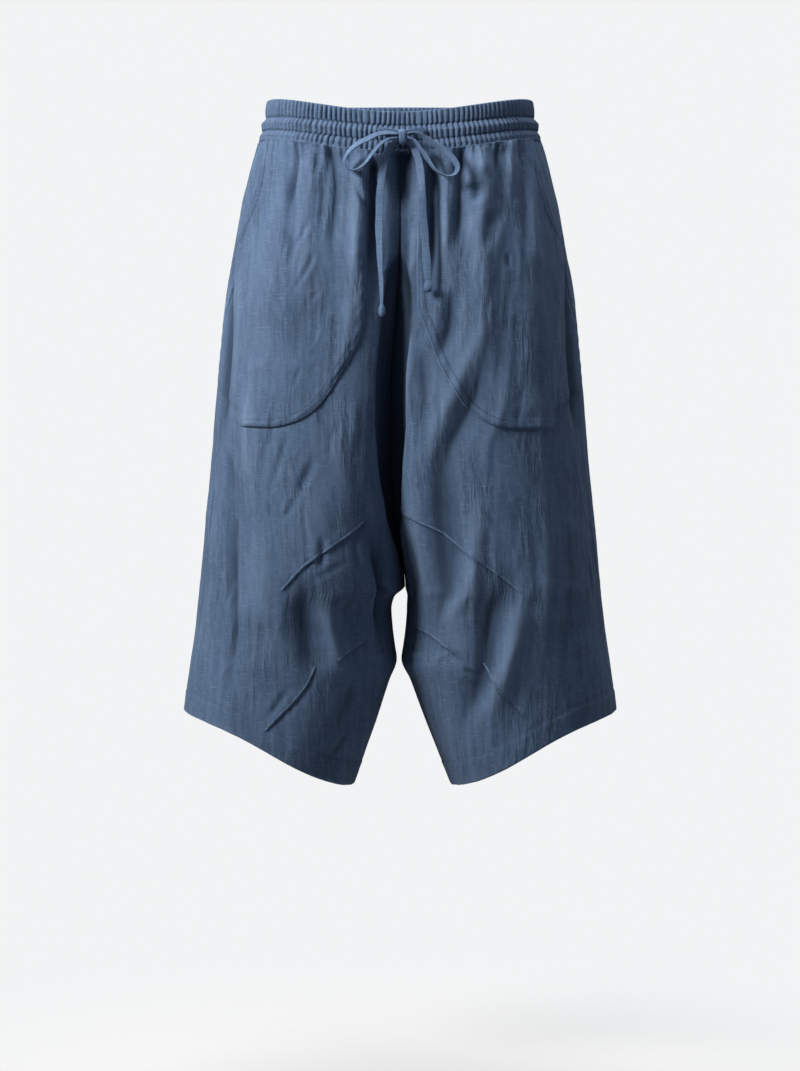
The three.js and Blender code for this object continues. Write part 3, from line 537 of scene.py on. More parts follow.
# By face and side: width, depth, and then the distance from the middle and the height of each place
# that the crease runs through
CREASES = {
    ("front", -1): [
        (3.5, -3, 115, -26, 115, -52, 120, -78, 123, -108), (2.4, -2, 106, -26, 107, -49),
        (3, -2, 92, -26, 92, -61), (4, -3.5, 76, -28, 71, -64, 72, -102, 74, -137, 70, -165),
        (5, 2.5, 59, -58, 52, -108, 50, -152, 52, -205),
        (5.5, -4.5, 30, -42, 31, -93, 33, -137, 34, -205), (2.5, -2.2, 50, -62, 43, -81, 35, -99),
        (2.5, 1.8, 41, -64, 36, -84, 34, -96), (2.6, -1.3, 98, -105, 106, -128, 120, -150),
        (2.2, -1.6, 92, -144, 101, -170, 107, -181, 120, -202), (2.5, -1.4, 146, -26, 150, -47),
        (4, -1.3, 155, -87, 158, -115, 159, -144), (13, 1.8, 140, -58, 138, -93, 141, -152),
        (3, -1.5, 126, -122, 120, -144, 124, -174), (2, -1, 95, -171, 93, -189, 95, -205),
        (12, -9, 186, -125, 191, -180, 193, -250, 197, -310, 202, -380),
        (4, 2.4, 177, -160, 176, -210, 175, -250, 177, -296),
        (2, 1.1, 83, -238, 89, -254, 96, -268), (2, -1.4, 91, -194, 94, -208),
        (12, -2.2, 100, -198, 110, -239, 109, -284),
        (7, 2.4, 57, -189, 54, -232, 60, -272, 73, -299), (6, 2, 45, -308, 42, -343, 46, -380),
        (3, -0.8, 58, -340, 69, -361, 72, -392), (11, 2, 58, -290, 58, -350, 60, -430),
        (4, -2.2, 89, -377, 101, -408, 112, -432), (3, -1.4, 118, -349, 130, -386, 141, -420),
        (2.2, -1, 104, -278, 110, -293, 112, -308),
        (14, 4.2, 166, -290, 165, -345, 163, -400, 160, -460),
        (6, -2.4, 190, -370, 189, -399, 188, -432), (3, 1.4, 183, -380, 182, -410),
        (3, -1.2, 137, -322, 138, -343, 143, -380), (2.5, 1, 155, -346, 154, -388),
        (6, -3.6, 187, -435, 189, -522, 185, -582, 191, -629, 190, -680),
        (2.2, -1.6, 184, -446, 187, -478), (2.2, -1.6, 194, -510, 196, -548),
        (2, -1.6, 184, -561, 185, -589), (14, 2.6, 154, -425, 156, -522, 158, -629),
        (13, -1.5, 104, -505, 108, -560, 100, -610, 88, -660),
        (7.5, 3.2, 88, -535, 73, -586, 60, -640), (3, -2.2, 82, -464, 87, -488, 94, -512),
        (2.2, -1, 56, -494, 85, -508, 113, -524), (2.4, 1.6, 43, -610, 30, -607, 13, -604),
        (3, -2.2, 53, -685, 71, -708, 89, -730), (2.2, 1, 167, -583, 192, -614, 213, -643),
        (2.4, -1.5, 108, -420, 117, -435, 128, -452), (1.8, -1.3, 102, -435, 102, -488),
        (2.4, -1.4, 56, -535, 60, -552, 58, -569), (2, 1.1, 68, -542, 54, -546, 36, -554),
        (5, -1.8, 49, -629, 66, -668, 71, -693), (3, -1.4, 122, -633, 139, -659, 156, -680),
        (3, -1.3, 43, -459, 48, -488, 43, -522), (3, -2, 4, -149, 10, -171, 19, -184),
        (4, 2.6, 27, -470, 30, -520, 31, -560, 27, -610, 19, -640),
        (6, -3, 20, -480, 21, -530, 20, -590),
        (1.8, -2.2, 199, -300, 206, -380, 213, -450, 223, -531, 238, -645),
    ],
    ("front", 1): [
        (9, 3.6, 108, -405, 94, -448, 79, -512, 60, -560, 50, -600),
        (15, -6.5, 54, -350, 52, -420, 48, -490, 44, -560, 36, -620),
        (13, -6.2, 122, -496, 103, -555, 94, -618, 76, -662, 60, -700),
        (10, 3.4, 140, -497, 128, -565, 118, -612, 92, -670, 72, -715),
        (9, 2, 165, -370, 164, -440, 162, -523, 153, -629),
        (5.5, -1.2, 188, -429, 191, -512, 186, -597, 181, -653),
        (1.8, -2, 201, -300, 208, -380, 216, -450, 226, -531, 240, -645),
        (2.4, 1.6, 39, -611, 52, -601, 67, -597), (2.4, -1.6, 71, -616, 88, -627),
        (3, -1.8, 52, -593, 67, -604, 80, -621), (3, 1.6, 8, -604, 24, -606, 41, -599),
        (2.2, -1.2, 97, -435, 107, -452, 118, -459), (3, -1.3, 213, -491, 218, -535, 221, -565),
        (2.2, 1, 130, -480, 128, -510),
        (7, 2.6, 15, -204, 18, -269, 16, -313, 14, -358, 12, -417),
        (7.5, -3.4, 31, -251, 34, -313, 28, -364),
        (10, 3.4, 105, -200, 82, -269, 60, -321, 48, -358, 30, -417),
        (7, -4, 58, -186, 58, -239, 43, -287), (9, -3.6, 99, -263, 88, -313, 61, -373, 45, -427),
        (7, 2.2, 119, -262, 119, -321, 103, -365, 97, -427),
        (4, 2.2, 178, -195, 173, -299, 168, -388),
        (12, -9, 186, -130, 191, -190, 194, -260, 198, -320, 203, -390),
        (4, 2, 178, -170, 178, -220, 177, -260, 178, -300),
        (2, -1.4, 97, -198, 96, -217, 99, -244), (2, -1, 21, -287, 25, -319, 28, -328),
        (4, 1.4, 157, -310, 157, -358, 165, -417), (3, -1.2, 137, -290, 135, -328, 131, -358),
        (2.5, -1.2, 50, -304, 52, -328, 55, -361), (4.5, -4, 68, -28, 65, -93, 62, -159),
        (6, -3.4, 82, -64, 84, -78, 82, -93), (5, 2.2, 91, -30, 91, -59),
        (5, 2.6, 48, -66, 51, -108, 51, -159), (5.5, -4.6, 36, -42, 36, -137, 41, -205),
        (2.6, -2.4, 108, -28, 106, -62), (8, 2.8, 120, -30, 120, -64, 113, -122, 106, -167),
        (8, -2.6, 101, -96, 97, -122, 94, -156), (7, 2.2, 79, -97, 79, -159),
        (7, 1.8, 144, -58, 147, -137, 149, -196), (7, -1.8, 135, -39, 137, -108, 138, -181),
        (2.2, -1.6, 70, -28, 69, -58), (2.4, -1.5, 132, -28, 136, -58),
        (7, 3.2, 17, -102, 15, -152, 14, -206), (2.4, -1.6, 119, -149, 120, -167, 125, -171),
    ],
    ("back", -1): [
        (4, -3.2, 40, -28, 42, -70, 46, -120), (3, -2.2, 84, -26, 88, -66),
        (4.5, -3, 118, -26, 122, -84, 128, -150), (8, 2.6, 50, -60, 60, -140, 66, -250),
        (3, -1.8, 30, -150, 52, -190, 84, -214), (3, -1.6, 70, -226, 104, -262, 146, -282),
        (9, -3.4, 40, -240, 66, -330, 104, -430), (9, 3, 120, -300, 128, -420, 118, -560),
        (6, -2.8, 186, -360, 192, -480, 188, -620), (8, -3.4, 60, -470, 88, -560, 96, -660),
        (2.6, -1.6, 30, -500, 58, -540, 96, -566), (2.4, 1.4, 20, -590, 60, -600, 96, -590),
        (5, -2, 150, -560, 160, -640, 150, -700),
    ],
    ("back", 1): [
        (4, -3.4, 52, -28, 54, -80, 50, -130), (3, -2.2, 90, -26, 88, -58),
        (4, -2.8, 126, -26, 132, -90, 130, -160), (8, 2.8, 30, -80, 40, -170, 60, -280),
        (3, -1.8, 36, -168, 60, -196, 100, -206), (3, -1.5, 60, -250, 96, -276, 130, -310),
        (8, -3.2, 110, -240, 92, -340, 60, -430), (9, 3, 140, -320, 132, -440, 100, -580),
        (6, -2.6, 190, -330, 194, -450, 200, -600), (8, -3.4, 110, -480, 84, -580, 70, -680),
        (2.6, -1.6, 24, -510, 56, -530, 88, -570), (2.4, 1.4, 16, -602, 50, -596, 80, -606),
        (5, 2, 170, -540, 160, -640, 164, -710),
    ],
}
CREASE_RISE, CREASE_FADE, WAIST_CREASE = 0.35, 0.45, -45
# Washing and wear press the creases that sink in deeper than the ridges rise
VALLEY_SCALE = 1.35
# Gathers below the waist seam: wave, depth, how far down they run, and layer of noise
GATHERS = [(7.0, 1.4, 18, 0), (13, 1.7, 42, 1), (27, 2.0, 110, 2)]
# Small sharp crumples from washing, mostly upright: width, height, slant, depth, and layer of noise
CRUMPLES = [(30, 130, 0.0, 1.1, 5), (17, 62, -0.10, 0.6, 6), (9, 50, 0.05, 0.42, 7),
            (14, 20, 0.4, 0.16, 0)]
# Gathers and crumples calm down this near to a side seam, in millimetres, and folds this near to
# the centre seams, as a share of the way round
SIDE_CALM, SEAM_CALM = 16, 0.05
# Stitched row beside the inside leg below the knee: how far from the seam it is, and its top
INSEAM_ROW, INSEAM_TOP = 5.0, -618.0
UNDER_KNOT_X, UNDER_KNOT_DEPTH = 4, 13
NOISE_CELLS = 128
LATTICE = np.random.default_rng(71).random((8, NOISE_CELLS, NOISE_CELLS))


def noise(u, v, layer):
    """Smooth noise from 0 to 1 with a wave about every unit"""
    values = LATTICE[layer]
    i, j = np.floor(u).astype(int), np.floor(v).astype(int)
    a, b = smooth_step(u - i), smooth_step(v - j)
    near = [[values[(j + down) % NOISE_CELLS, (i + right) % NOISE_CELLS] for right in (0, 1)]
            for down in (0, 1)]
    upper, lower = ((1 - a) * left + a * right for left, right in near)
    return (1 - b) * upper + b * lower


def line_reach(s, z, line):
    """Distance from each place to a line on the cloth, and the share of the line's length there"""
    line = np.asarray(line, float)
    lengths = np.linalg.norm(np.diff(line, axis=0), axis=1)
    starts = np.concatenate([[0], np.cumsum(lengths)])
    best = np.full(s.shape, 1e9)
    share = np.zeros(s.shape)
    for k, length in enumerate(lengths):
        along = (line[k + 1] - line[k]) / length
        du, dv = s - line[k, 0], z - line[k, 1]
        t = np.clip(du * along[0] + dv * along[1], 0, length)
        away = np.hypot(du - t * along[0], dv - t * along[1])
        closer = away < best
        best = np.where(closer, away, best)
        share = np.where(closer, (starts[k] + t) / starts[-1], share)
    return best, share


def on_cloth(face, points, step):
    """A smooth line through places given by distance from the middle and height"""
    line = smooth_line(points, step)
    return np.array([(length_at(face, x, z) - at_height(GRAIN[face], z), z) for x, z in line])


fold_lines, crease_lines = {-1: [], 1: []}, {-1: [], 1: []}
for (face, side), folds in FOLDS.items():
    for top_x, top_z, bottom_x, bottom_z, width, depth in folds:
        along = np.clip((top_z - HEIGHTS) / (top_z - bottom_z), 0, 1)
        middle_x = top_x + (bottom_x - top_x) * along
        middles = [length_at(face, x, z) for x, z in zip(middle_x, HEIGHTS)] - GRAIN[face]
        fold_lines[side].append((face, top_z, bottom_z, width, depth, middles))
    for width, depth, *places in CREASES[face, side]:
        line = on_cloth(face, np.reshape(places, (-1, 2)), 8.0)
        crease_lines[side].append((face, width, depth, line))
# Half the width of the hollow between the legs, where their fronts turn in sharply
HOLLOW = np.array([(-130, 0), (-185, 13), (-260, 16), (-345, 16), (-420, 9), (-470, 4), (-505, 0)],
                  float)
HOLLOW_DEPTH = 11.0
hollow_edge = np.array([length_at("front", x, z) if x else 0.0
                        for x, z in zip(np.interp(-HEIGHTS, -HOLLOW[:, 0], HOLLOW[:, 1]), HEIGHTS)])


# Three darts on each front take in the cloth over the knee
DARTS = {
    -1: [[(23, -445), (46, -462), (80, -483), (108, -502), (137, -532)],
         [(34, -586), (55, -598), (70, -609)],
         [(90, -612), (102, -633), (121, -656), (140, -675), (153, -689)]],
    1: [[(4, -442), (25, -452), (57, -473), (92, -500), (117, -519), (136, -535)],
        [(17, -574), (37, -583), (54, -594), (70, -607)],
        [(90, -608), (111, -640), (128, -658), (144, -676)]],
}
dart_lines = {side: [on_cloth("front", points, 1.5) for points in darts]
              for side, darts in DARTS.items()}


def fold_form(away, width, depth):
    """Section across a crease: a valley is sharp at its bottom and a ridge is round"""
    if depth > 0:
        return bell(away, width)
    return np.exp(-((away / width) ** 1.4)) - 0.22 * bell(away - 2.3 * width, width)


def large_folds(side, across, height):
    """How far the folds of the solids move the cloth out"""
    large = np.zeros(height.shape)
    for face, top, bottom, width, depth, middles in fold_lines[side]:
        along = np.clip((top - height) / (top - bottom), 0, 1)
        fade = 1 - smooth_step((along - FOLD_FADE) / (1 - FOLD_FADE))
        rise = smooth_step(along / (WAIST_RISE if top > WAIST_FOLD else FOLD_RISE))
        large += depth * rise * fade * bell(across[face] - at_height(middles, height), width)
    return large


def creases(side, across, height):
    """How far the creases move the cloth out"""
    fine = np.zeros(height.shape)
    for face, width, depth, line in crease_lines[side]:
        s = across[face]
        reach = 3.4 * width
        near = ((s > line[:, 0].min() - reach) & (s < line[:, 0].max() + reach)
                & (height > line[:, 1].min() - reach) & (height < line[:, 1].max() + reach))
        if not near.any():
            continue
        away, along = line_reach(s[near], height[near], line)
        rise = 1 if line[0, 1] > WAIST_CREASE else smooth_step(along / CREASE_RISE)
        ends = smooth_step((1 - along) / CREASE_FADE) * rise
        scale = VALLEY_SCALE if depth < 0 else 1.0
        fine[near] += depth * ends * fold_form(away, width, depth) * scale
    return fine


def gathers(s, below):
    """Gathers fan out of the waist seam and run into fewer, wider folds"""
    rise = 0
    for wave, depth, end, layer in GATHERS:
        wander = (noise(s / 34, below / 70 + 3, layer) - 0.5) * 2.2
        uneven = 0.3 + 1.2 * noise(s / 26 + 9, below / 90, layer + 3)
        gather = np.abs(np.cos(pi * (s / wave + wander))) ** 0.7 - 0.66
        rise = rise + depth * gather * uneven * (1 - smooth_step(below / end))
    return rise


def crumples(s, height, below):
    """Washed linen keeps small sharp crumples, thicker in some patches than in others"""
    rise = 0
    for wide, tall, slant, depth, layer in CRUMPLES:
        v = height / tall
        u = (s + slant * height) / wide + 0.55 * noise(v * 1.3 + 7, s / 160, 4)
        sharp = bell(noise(u, v, layer) - 0.5, 0.12) - 0.42
        patch = 0.25 + 0.75 * smooth_step((noise(s / 48 + layer, height / 85, 3) - 0.3) / 0.35)
        rise = rise + depth * sharp * patch * smooth_step(below / 60)
    return rise


def beside_darts(side, s, height):
    """How far the cloth stands out beside the darts, and how dark it is in their shade"""
    out, sunk = np.zeros(height.shape), np.zeros(height.shape)
    for line in dart_lines[side]:
        near = ((s > line[0, 0]) & (s < line[-1, 0]) & (height > line[:, 1].min() - 30)
                & (height < line[:, 1].max() + 30))
        below = np.interp(s[near], line[:, 0], line[:, 1]) - height[near]
        along = (s[near] - line[0, 0]) / (line[-1, 0] - line[0, 0])
        ends = smooth_step(along / 0.1) * smooth_step((1 - along) / 0.1)
        out[near] += ends * np.where(below > 0, -1.1 * bell(below, 11), 0.4 * bell(below, 8))
        # A thin line of painted shade under each dart's folded edge
        sunk[near] += 0.7 * ends * bell(below - 0.6, 1.5)
    return out, sunk


def relief(side, share, height, level):
    """How far the cloth stands out of the plain form, and its rubbing and painted shade from 0 to 1
    """
    girth = at_height(GIRTH, height)
    seam = at_height(SEAM_SHARE, height)
    seam_away = np.abs(share - seam) * girth
    across = {face: from_grain(face, share, height) for face in ("front", "back")}

    # Gathers and crumples run on round the whole garment, and each side has its own
    s = np.where(share < seam, across["front"], 700 - across["back"]) + 1500 * (side > 0)
    below = WAIST_SEAM - height
    free = smooth_step(seam_away / SIDE_CALM)
    fine = creases(side, across, height)
    fine += (gathers(s, below) + crumples(s, height, below)) * (0.15 + 0.85 * free) * free
    beside, sunk = beside_darts(side, across["front"], height)
    fine += beside

    # Between the legs the fronts turn in sharply to the hollow, which is darkened there with painted
    # shade
    edge = at_height(hollow_edge, height)
    inside = (1 - smooth_step((share * girth - edge + 9) / 13)) * smooth_step((edge - 4) / 20)
    large = large_folds(side, across, height)
    large -= HOLLOW_DEPTH * inside * (height < HOLLOW[0, 0])
    calm = smooth_step(share / SEAM_CALM) * smooth_step((1 - share) / SEAM_CALM)
    out = (large + fine) * calm

    # The seams lie deeper than the cloth and pucker it
    pucker = np.sin(height / 2.3 + 5 * noise(height / 21, 0 * height + 0.5, 5))
    inseam = bell(share * girth - INSEAM_ROW, 1.3) * (height < INSEAM_TOP)
    out += 0.3 * pucker * bell(seam_away, 6) - 1.5 * bell(seam_away, 1.6) - 0.9 * inseam

    # The turned hem is twice as thick, and its stitches draw it in
    hem = level - (SIDE_HEM + HEM_TURN)
    drawn = np.sin(across["front"] / 4.1 + 6 * noise(across["front"] / 37, 0 * height, 6))
    out += 0.6 * smooth_step(-hem / 2.5) - 0.5 * bell(hem, 1.4) + 0.25 * drawn * bell(hem, 7)
    edge = bell(level - SIDE_HEM, 2.0) + bell(seam_away - 3, 1.6)
    sunk += bell(seam_away, 1.5) + 0.3 * bell(hem, 1.4) + 0.7 * inseam
    # Ridges are paler from rubbing, and the seams and stitch lines darker; the creases and folds that
    # sink in are darkened with painted shade, most in the deep valleys beside the side seams
    rubbed_and_shaded = 0.5 + 0.09 * fine + 0.03 * large + 0.25 * edge - 0.45 * sunk - 0.05 * (hem < 0)
    return out, np.clip(rubbed_and_shaded - 0.45 * inside, 0, 1)


def share_on(face, across, height):
    """The share of the way round at a part of the way across a panel, from the centre to the side"""
    seam = at_height(SEAM_SHARE, height)
    return seam * across if face == "front" else 1 - (1 - seam) * across


def inward_share(face, across):
    """The part of the way from the side to the inside leg, seen from the front at the hem"""
    share = share_on(face, across, HEM_MIDDLE)
    shift, width, inner = (at_height(v, HEM_MIDDLE) for v in (SHIFT, HALF_WIDTH, INNER))
    x = np.abs(plain_place(1, share, share * 0 + HEM_MIDDLE)[..., 0] - shift * (across < 1))
    return np.clip((width - x) / (width - inner), 0, 1)


def hem_inward(face, across):
    """How much of the hem's drop a place has, from 0 at the side to 1 at the inside leg"""
    from_side = inward_share(face, across)
    return from_side**HEM_CURVE - HEM_SWEEP * np.sin(2 * pi * from_side)


def level_at(face, across, height):
    """The level that a height on a panel belongs to"""
    inward = hem_inward(face, across)
    level = height.copy()
    for _ in range(8):
        level = height + read_table(LEVEL_DROPS, level)[..., 0] * inward
    return level


def cloth_place(face, side, across, level):
    """Places on the cloth as it hangs, at levels, which run down the panel side by side with its hem
    """
    height = level - read_table(LEVEL_DROPS, level)[..., 0] * hem_inward(face, across)
    return cloth_at(face, side, across, height, level)


def cloth_at(face, side, across, height, level):
    """Places on the cloth as it hangs at heights, with the way each faces, its rubbing and painted
    shade, and distance across
    """
    share = share_on(face, across, height)
    facing = plain_facing(side, share, height)
    out, rubbed_and_shaded = relief(side, share, height, level)
    place = plain_place(side, share, height) + facing * out[..., None]
    if face == "front":
        # Under the knot both fronts sink in together, and painted shade darkens them there
        under = smooth_step((-22 - height) / 6) * (1 - smooth_step((-52 - height) / 52))
        knot_sink_and_shade = under * bell(place[..., 0] - UNDER_KNOT_X, 9.5)
        place[..., 1] += UNDER_KNOT_DEPTH * knot_sink_and_shade
        rubbed_and_shaded = np.clip(rubbed_and_shaded - knot_sink_and_shade, 0, 1)
    fade = 1 - smooth_step((WAIST_SEAM - level) / (WAIST_SEAM - DIP_END))
    dip = -FRONT_DIP if face == "front" else BACK_RISE
    place[..., 2] += dip * np.cos(pi / 2 * across) ** 2 * fade
    return place, facing, rubbed_and_shaded, from_grain(face, share, height)


# Waistband
# A casing of the same linen over a wide elastic, sewn through all round in two lines, so that it
# gathers in three rows of small tucks. Its lower edge is stitched down over the body of the shorts.
BAND_ROWS = np.array([
    # Height, half width, half depth, gather
    (21, 151.8, 110.6, 1.1), (14, 152.8, 111.4, 1.7), (7, 153.0, 111.6, 1.3), (-1, 157.4, 115.6, 1.9),
    (-10, 157.4, 115.6, 1.3), (-16.5, 160.2, 117.8, 1.5), (-24.2, 161.2, 118.4, 0.9),
], float)
BAND_GATHERS, BAND_COLUMNS, BAND_THICKNESS = 150, 1350, 3.4
BAND_STITCHES = (7.0, -10.0)
STITCH_DEPTH, STITCH_WIDTH = 0.9, 1.1
# Beside the side seams both stitch lines run lower on the band than in the middle
STITCH_SAG = 4.5
# The cloth of the band is about half as long again as the band, so its map is stretched
BAND_ROUND = 1400.0
top_front = at_height(FRONT, WAIST_SEAM)
top_width = at_height(HALF_WIDTH, WAIST_SEAM)


def band_place(turn, height, inset=0.0, gather_scale=1.0):
    """Places on the waistband. turn goes once round from its join at the centre back"""
    left = (turn >= 0.5)[..., None]
    share = np.where(turn < 0.5, 1 - 2 * turn, 2 * turn - 1)
    seam = at_height(SEAM_SHARE, WAIST_SEAM)
    flat = np.full(share.shape, WAIST_SEAM)
    place = np.where(left, plain_place(1, share, flat), plain_place(-1, share, flat))
    facing = np.where(left, plain_facing(1, share, flat), plain_facing(-1, share, flat))
    facing[..., 2] = 0
    facing = unit(facing)
    width, depth, gather = np.moveaxis(read_table(BAND_ROWS, height), -1, 0)
    # 0 in the upper row of tucks, 1 in the middle one and 2 in the lower one
    row = sum(smooth_step((line - height) / 3 + 0.5) for line in BAND_STITCHES)
    wander = 0
    for zone in (0, 1, 2):
        part = np.clip(1 - np.abs(row - zone), 0, 1)
        slant = (height - 14 + zone * 16) * 0.03 * (noise(turn * 31, turn * 0 + zone, 0) - 0.5)
        wander = wander + part * (0.75 * noise(turn * 60, turn * 0 + zone * 3.5, 1) + slant)
    tuck = np.abs(np.cos(pi * (turn * BAND_GATHERS + wander))) ** 0.62
    uneven = 0.6 + 0.7 * noise(turn * 90, row * 2.5, 2)
    # The lower row lies nearly flat beside the side seams
    side_flat = smooth_step((np.abs(share - seam) - 0.06) / 0.14)
    calm = np.where(row > 1.5, 0.12 + 0.88 * side_flat, 0.8 + 0.2 * side_flat)
    tucked = sum(bell(height - line, STITCH_WIDTH) for line in BAND_STITCHES)
    stand = gather * gather_scale * uneven * calm * (2 * tuck - 1.25)
    across = np.where(share < seam, share / seam, (1 - share) / (1 - seam))
    dip = np.where(share < seam, -FRONT_DIP, BACK_RISE)
    sag = STITCH_SAG * np.interp(height, [-24, -10, 7, 21], [0, 0.45, 1, 0])
    rise = height + (dip + sag) * np.cos(pi / 2 * across) ** 2 - sag
    place = np.stack([place[..., 0] * width / top_width, place[..., 1] * depth / top_front, rise],
                     axis=-1)
    rubbed_and_shaded = 0.56 + 0.16 * (stand / np.maximum(gather, 0.1)) - 0.35 * tucked
    # Under the knot the band sinks in, and painted shade darkens it
    under = bell(place[..., 0] - UNDER_KNOT_X, 10) * smooth_step((-31 - rise) / 5)
    under = under * (place[..., 1] < 0)
    rubbed_and_shaded = rubbed_and_shaded - 0.8 * under
    place[..., 1] += 3 * under * gather_scale
    stand = stand - STITCH_DEPTH * tucked * gather_scale - inset
    return place + facing * stand[..., None], facing, np.clip(rubbed_and_shaded, 0, 1)


outer = np.concatenate([np.linspace(21, 10, 9), np.linspace(9, 5, 6), np.linspace(3.8, -6.8, 9),
                        np.linspace(-8, -12, 6), np.linspace(-13, -24, 8)])
turn = np.arange(BAND_COLUMNS) / BAND_COLUMNS
rows, rub_and_shade_rows = [], []
# Height, distance in and share of the gathers: down the outer face, round the tucked lower edge,
# up the plain inner face and over the top
band_profile = [(h, 0.0, 1.0) for h in outer]
band_profile += [(-24.9, 0.9, 0.8), (-25.0, 2.2, 0.7)]
band_profile += [(h, BAND_THICKNESS, 0.6) for h in (-24, -17, -10, -3, 4, 11, 18)]
band_profile += [(21.2, 3.0, 0.7), (22.2, 2.1, 0.8), (22.4, 1.2, 0.9), (22.0, 0.4, 1.0)]
for height, inset, scale in band_profile:
    places, _, rubbed_and_shaded = band_place(turn, 0 * turn + height, inset, scale)
    rows.append(places)
    rub_and_shade_rows.append(rubbed_and_shaded)
places = np.concatenate(rows)
count = len(rows)
faces, row, column = grid_faces(count + 1, BAND_COLUMNS, closed=True)
faces = faces % (count * BAND_COLUMNS)
down = np.concatenate([[0], np.cumsum([np.hypot(b[0] - a[0], b[1] - a[1])
                       for a, b in zip(band_profile, band_profile[1:] + band_profile[:1])])])
uvs = np.stack([column / BAND_COLUMNS * BAND_ROUND, -down[row]], axis=-1)
band = soft_piece("gathered_waistband", places, faces[:, ::-1], [uvs[:, ::-1]], np.concatenate(rub_and_shade_rows))
band.data.materials.append(linen)
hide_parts("waistband")
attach(band, "root")


# Panels
# Two fronts and two backs of one layer of linen, joined at the centre, the sides and the inside
# legs. Each hem is turned up inside by 24 mm and stitched. The darts are sewn in the fronts.
CLOTH, SEAM_GAP, SEAM_TURN, SEAM_CLOSING = 1.1, 0.3, 4.0, 0.4
PANEL_TOP, GATHERED_END = -20.0, -60
PANEL_ROWS, GATHERED_ROWS = 262, 24
PANEL_COLUMNS = {"front": 142, "back": 102}
# The way that each face lies from the middle, along y
AHEAD = {"front": -1, "back": 1}
# The rolled lower edge: level, and distance in from the face. The turned hem lies at the last one
HEM_INSET = 2.9
HEM_ROLL = [(-672.9, 0.5), (-673.2, 1.4), (-672.9, 2.3), (-672.0, HEM_INSET)]


def keep_clear(place, face, side, across, height):
    """Keeps the cloth half a seam gap away from its neighbour at a seam"""
    half, ahead = SEAM_GAP / 2, AHEAD[face]
    shift = at_height(SHIFT, height)
    x = place[..., 0]
    place[..., 0] = np.where(side * (x - shift) < half, shift + side * half, x)
    y = place[..., 1]
    low = (across < 0.5) & (at_height(FRONT_SEAM, height) < half) & (ahead * y < half)
    place[..., 1] = np.where(low, ahead * half, place[..., 1])
    place[..., 1] += np.where(across >= 1, ahead * half, 0)
    return place


def seam_inward(face, side, height):
    """The way that the turned-in edge of a panel points at the centre or inside-leg seam"""
    middle = smooth_step(at_height(FRONT_SEAM if face == "front" else BACK_SEAM, height) / 8)
    return unit(np.stack([side * (1 - middle), -AHEAD[face] * middle, 0 * height], axis=-1))


def panel_piece(name, face, side):
    """A panel from under the waistband to its turned hem, with its edges rolled into the seams"""
    levels = np.concatenate([np.linspace(PANEL_TOP, GATHERED_END, GATHERED_ROWS)[:-1],
                             np.linspace(GATHERED_END, SIDE_HEM, PANEL_ROWS - GATHERED_ROWS + 1)])
    # A few columns stand close together along both seams, where the cloth rolls in
    across = np.linspace(0, 1, PANEL_COLUMNS[face] - 4)
    across = np.sort(np.concatenate([across, [0.003, 0.997, 0.009, 0.991]]))
    over = np.concatenate([[0, 0], across, [1, 1]])
    turned_in = np.zeros(len(over))
    turned_in[[0, 1, -2, -1]] = SEAM_TURN, SEAM_TURN / 3, SEAM_TURN / 3, SEAM_TURN
    turned = np.linspace(SIDE_HEM, SIDE_HEM + HEM_TURN, 10)[1:]
    roll_levels, roll_insets = np.transpose(HEM_ROLL)
    insets = np.concatenate([0 * levels, roll_insets, 0 * turned + HEM_INSET])
    levels = np.concatenate([levels, roll_levels, turned])
    level, over = (a.astype(float) for a in np.meshgrid(levels, over, indexing="ij"))
    place, facing, rubbed_and_shaded, around = cloth_place(face, side, over, level)
    # The top edge goes in under the waistband
    tuck = 1.4 * smooth_step((level - WAIST_SEAM + 1.5) / 2)
    place = place - facing * (insets[:, None] + tuck)[..., None]
    height = level - read_table(LEVEL_DROPS, level)[..., 0] * hem_inward(face, over)
    place = keep_clear(place, face, side, over, height)
    middle = over < 0.5
    roll = np.where(middle[..., None], seam_inward(face, side, height), -facing)
    place += roll * turned_in[None, :, None]
    # The two turned-in edges of a seam lie against each other
    closing = SEAM_CLOSING * (turned_in == SEAM_TURN)[None, :] * middle
    at_centre = smooth_step(at_height(FRONT_SEAM, height) / 8)
    place[..., 0] -= side * closing * at_centre
    place[..., 1] -= AHEAD[face] * closing * (1 - at_centre)
    rubbed_and_shaded = rubbed_and_shaded - 0.5 * (turned_in > 0)[None, :]
    faces, row, column = grid_faces(*level.shape)
    uvs = np.stack([side * around[row, column] + 150 * len(face), height[row, column]], axis=-1)
    faces, uvs = faced_out(place, facing, faces, uvs)
    piece = soft_piece(name, place.reshape(-1, 3), faces, [uvs], np.clip(rubbed_and_shaded, 0, 1).ravel())
    thicken(piece, CLOTH)
    return piece


def faced_out(place, facing, faces, uvs):
    """The faces turned over if they look into the shorts"""
    some = faces[len(faces) // 3]
    a, b, c = place.reshape(-1, 3)[some[:3]]
    if np.cross(b - a, c - a) @ facing.reshape(-1, 3)[some[0]] < 0:
        return faces[:, ::-1], uvs[:, ::-1]
    return faces, uvs


def thicken(piece, thickness):
    """Gives a sheet its thickness, inwards from its face"""
    bpy.ops.object.select_all(action="DESELECT")
    piece.select_set(True)
    bpy.context.view_layer.objects.active = piece
    solidify = piece.modifiers.new("cloth", "SOLIDIFY")
    solidify.thickness = thickness * MM
    solidify.offset = -1
    bpy.ops.object.modifier_apply(modifier="cloth")


for face in ("front", "back"):
    for label, side in (("right", -1), ("left", 1)):
        panel = panel_piece(f"{face}_panel_{label}", face, side)
        panel.data.materials.append(linen)
        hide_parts(f"{face}_{label}")
        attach(panel, "root")


# Pockets
# A large patch of the same linen on each front, with its edge turned under and stitched twice. Its
# mouth slants from the waist seam to the side seam.
POCKET_CLOTH = 0.9
POCKET_COLUMNS, POCKET_ROWS = 104, 160
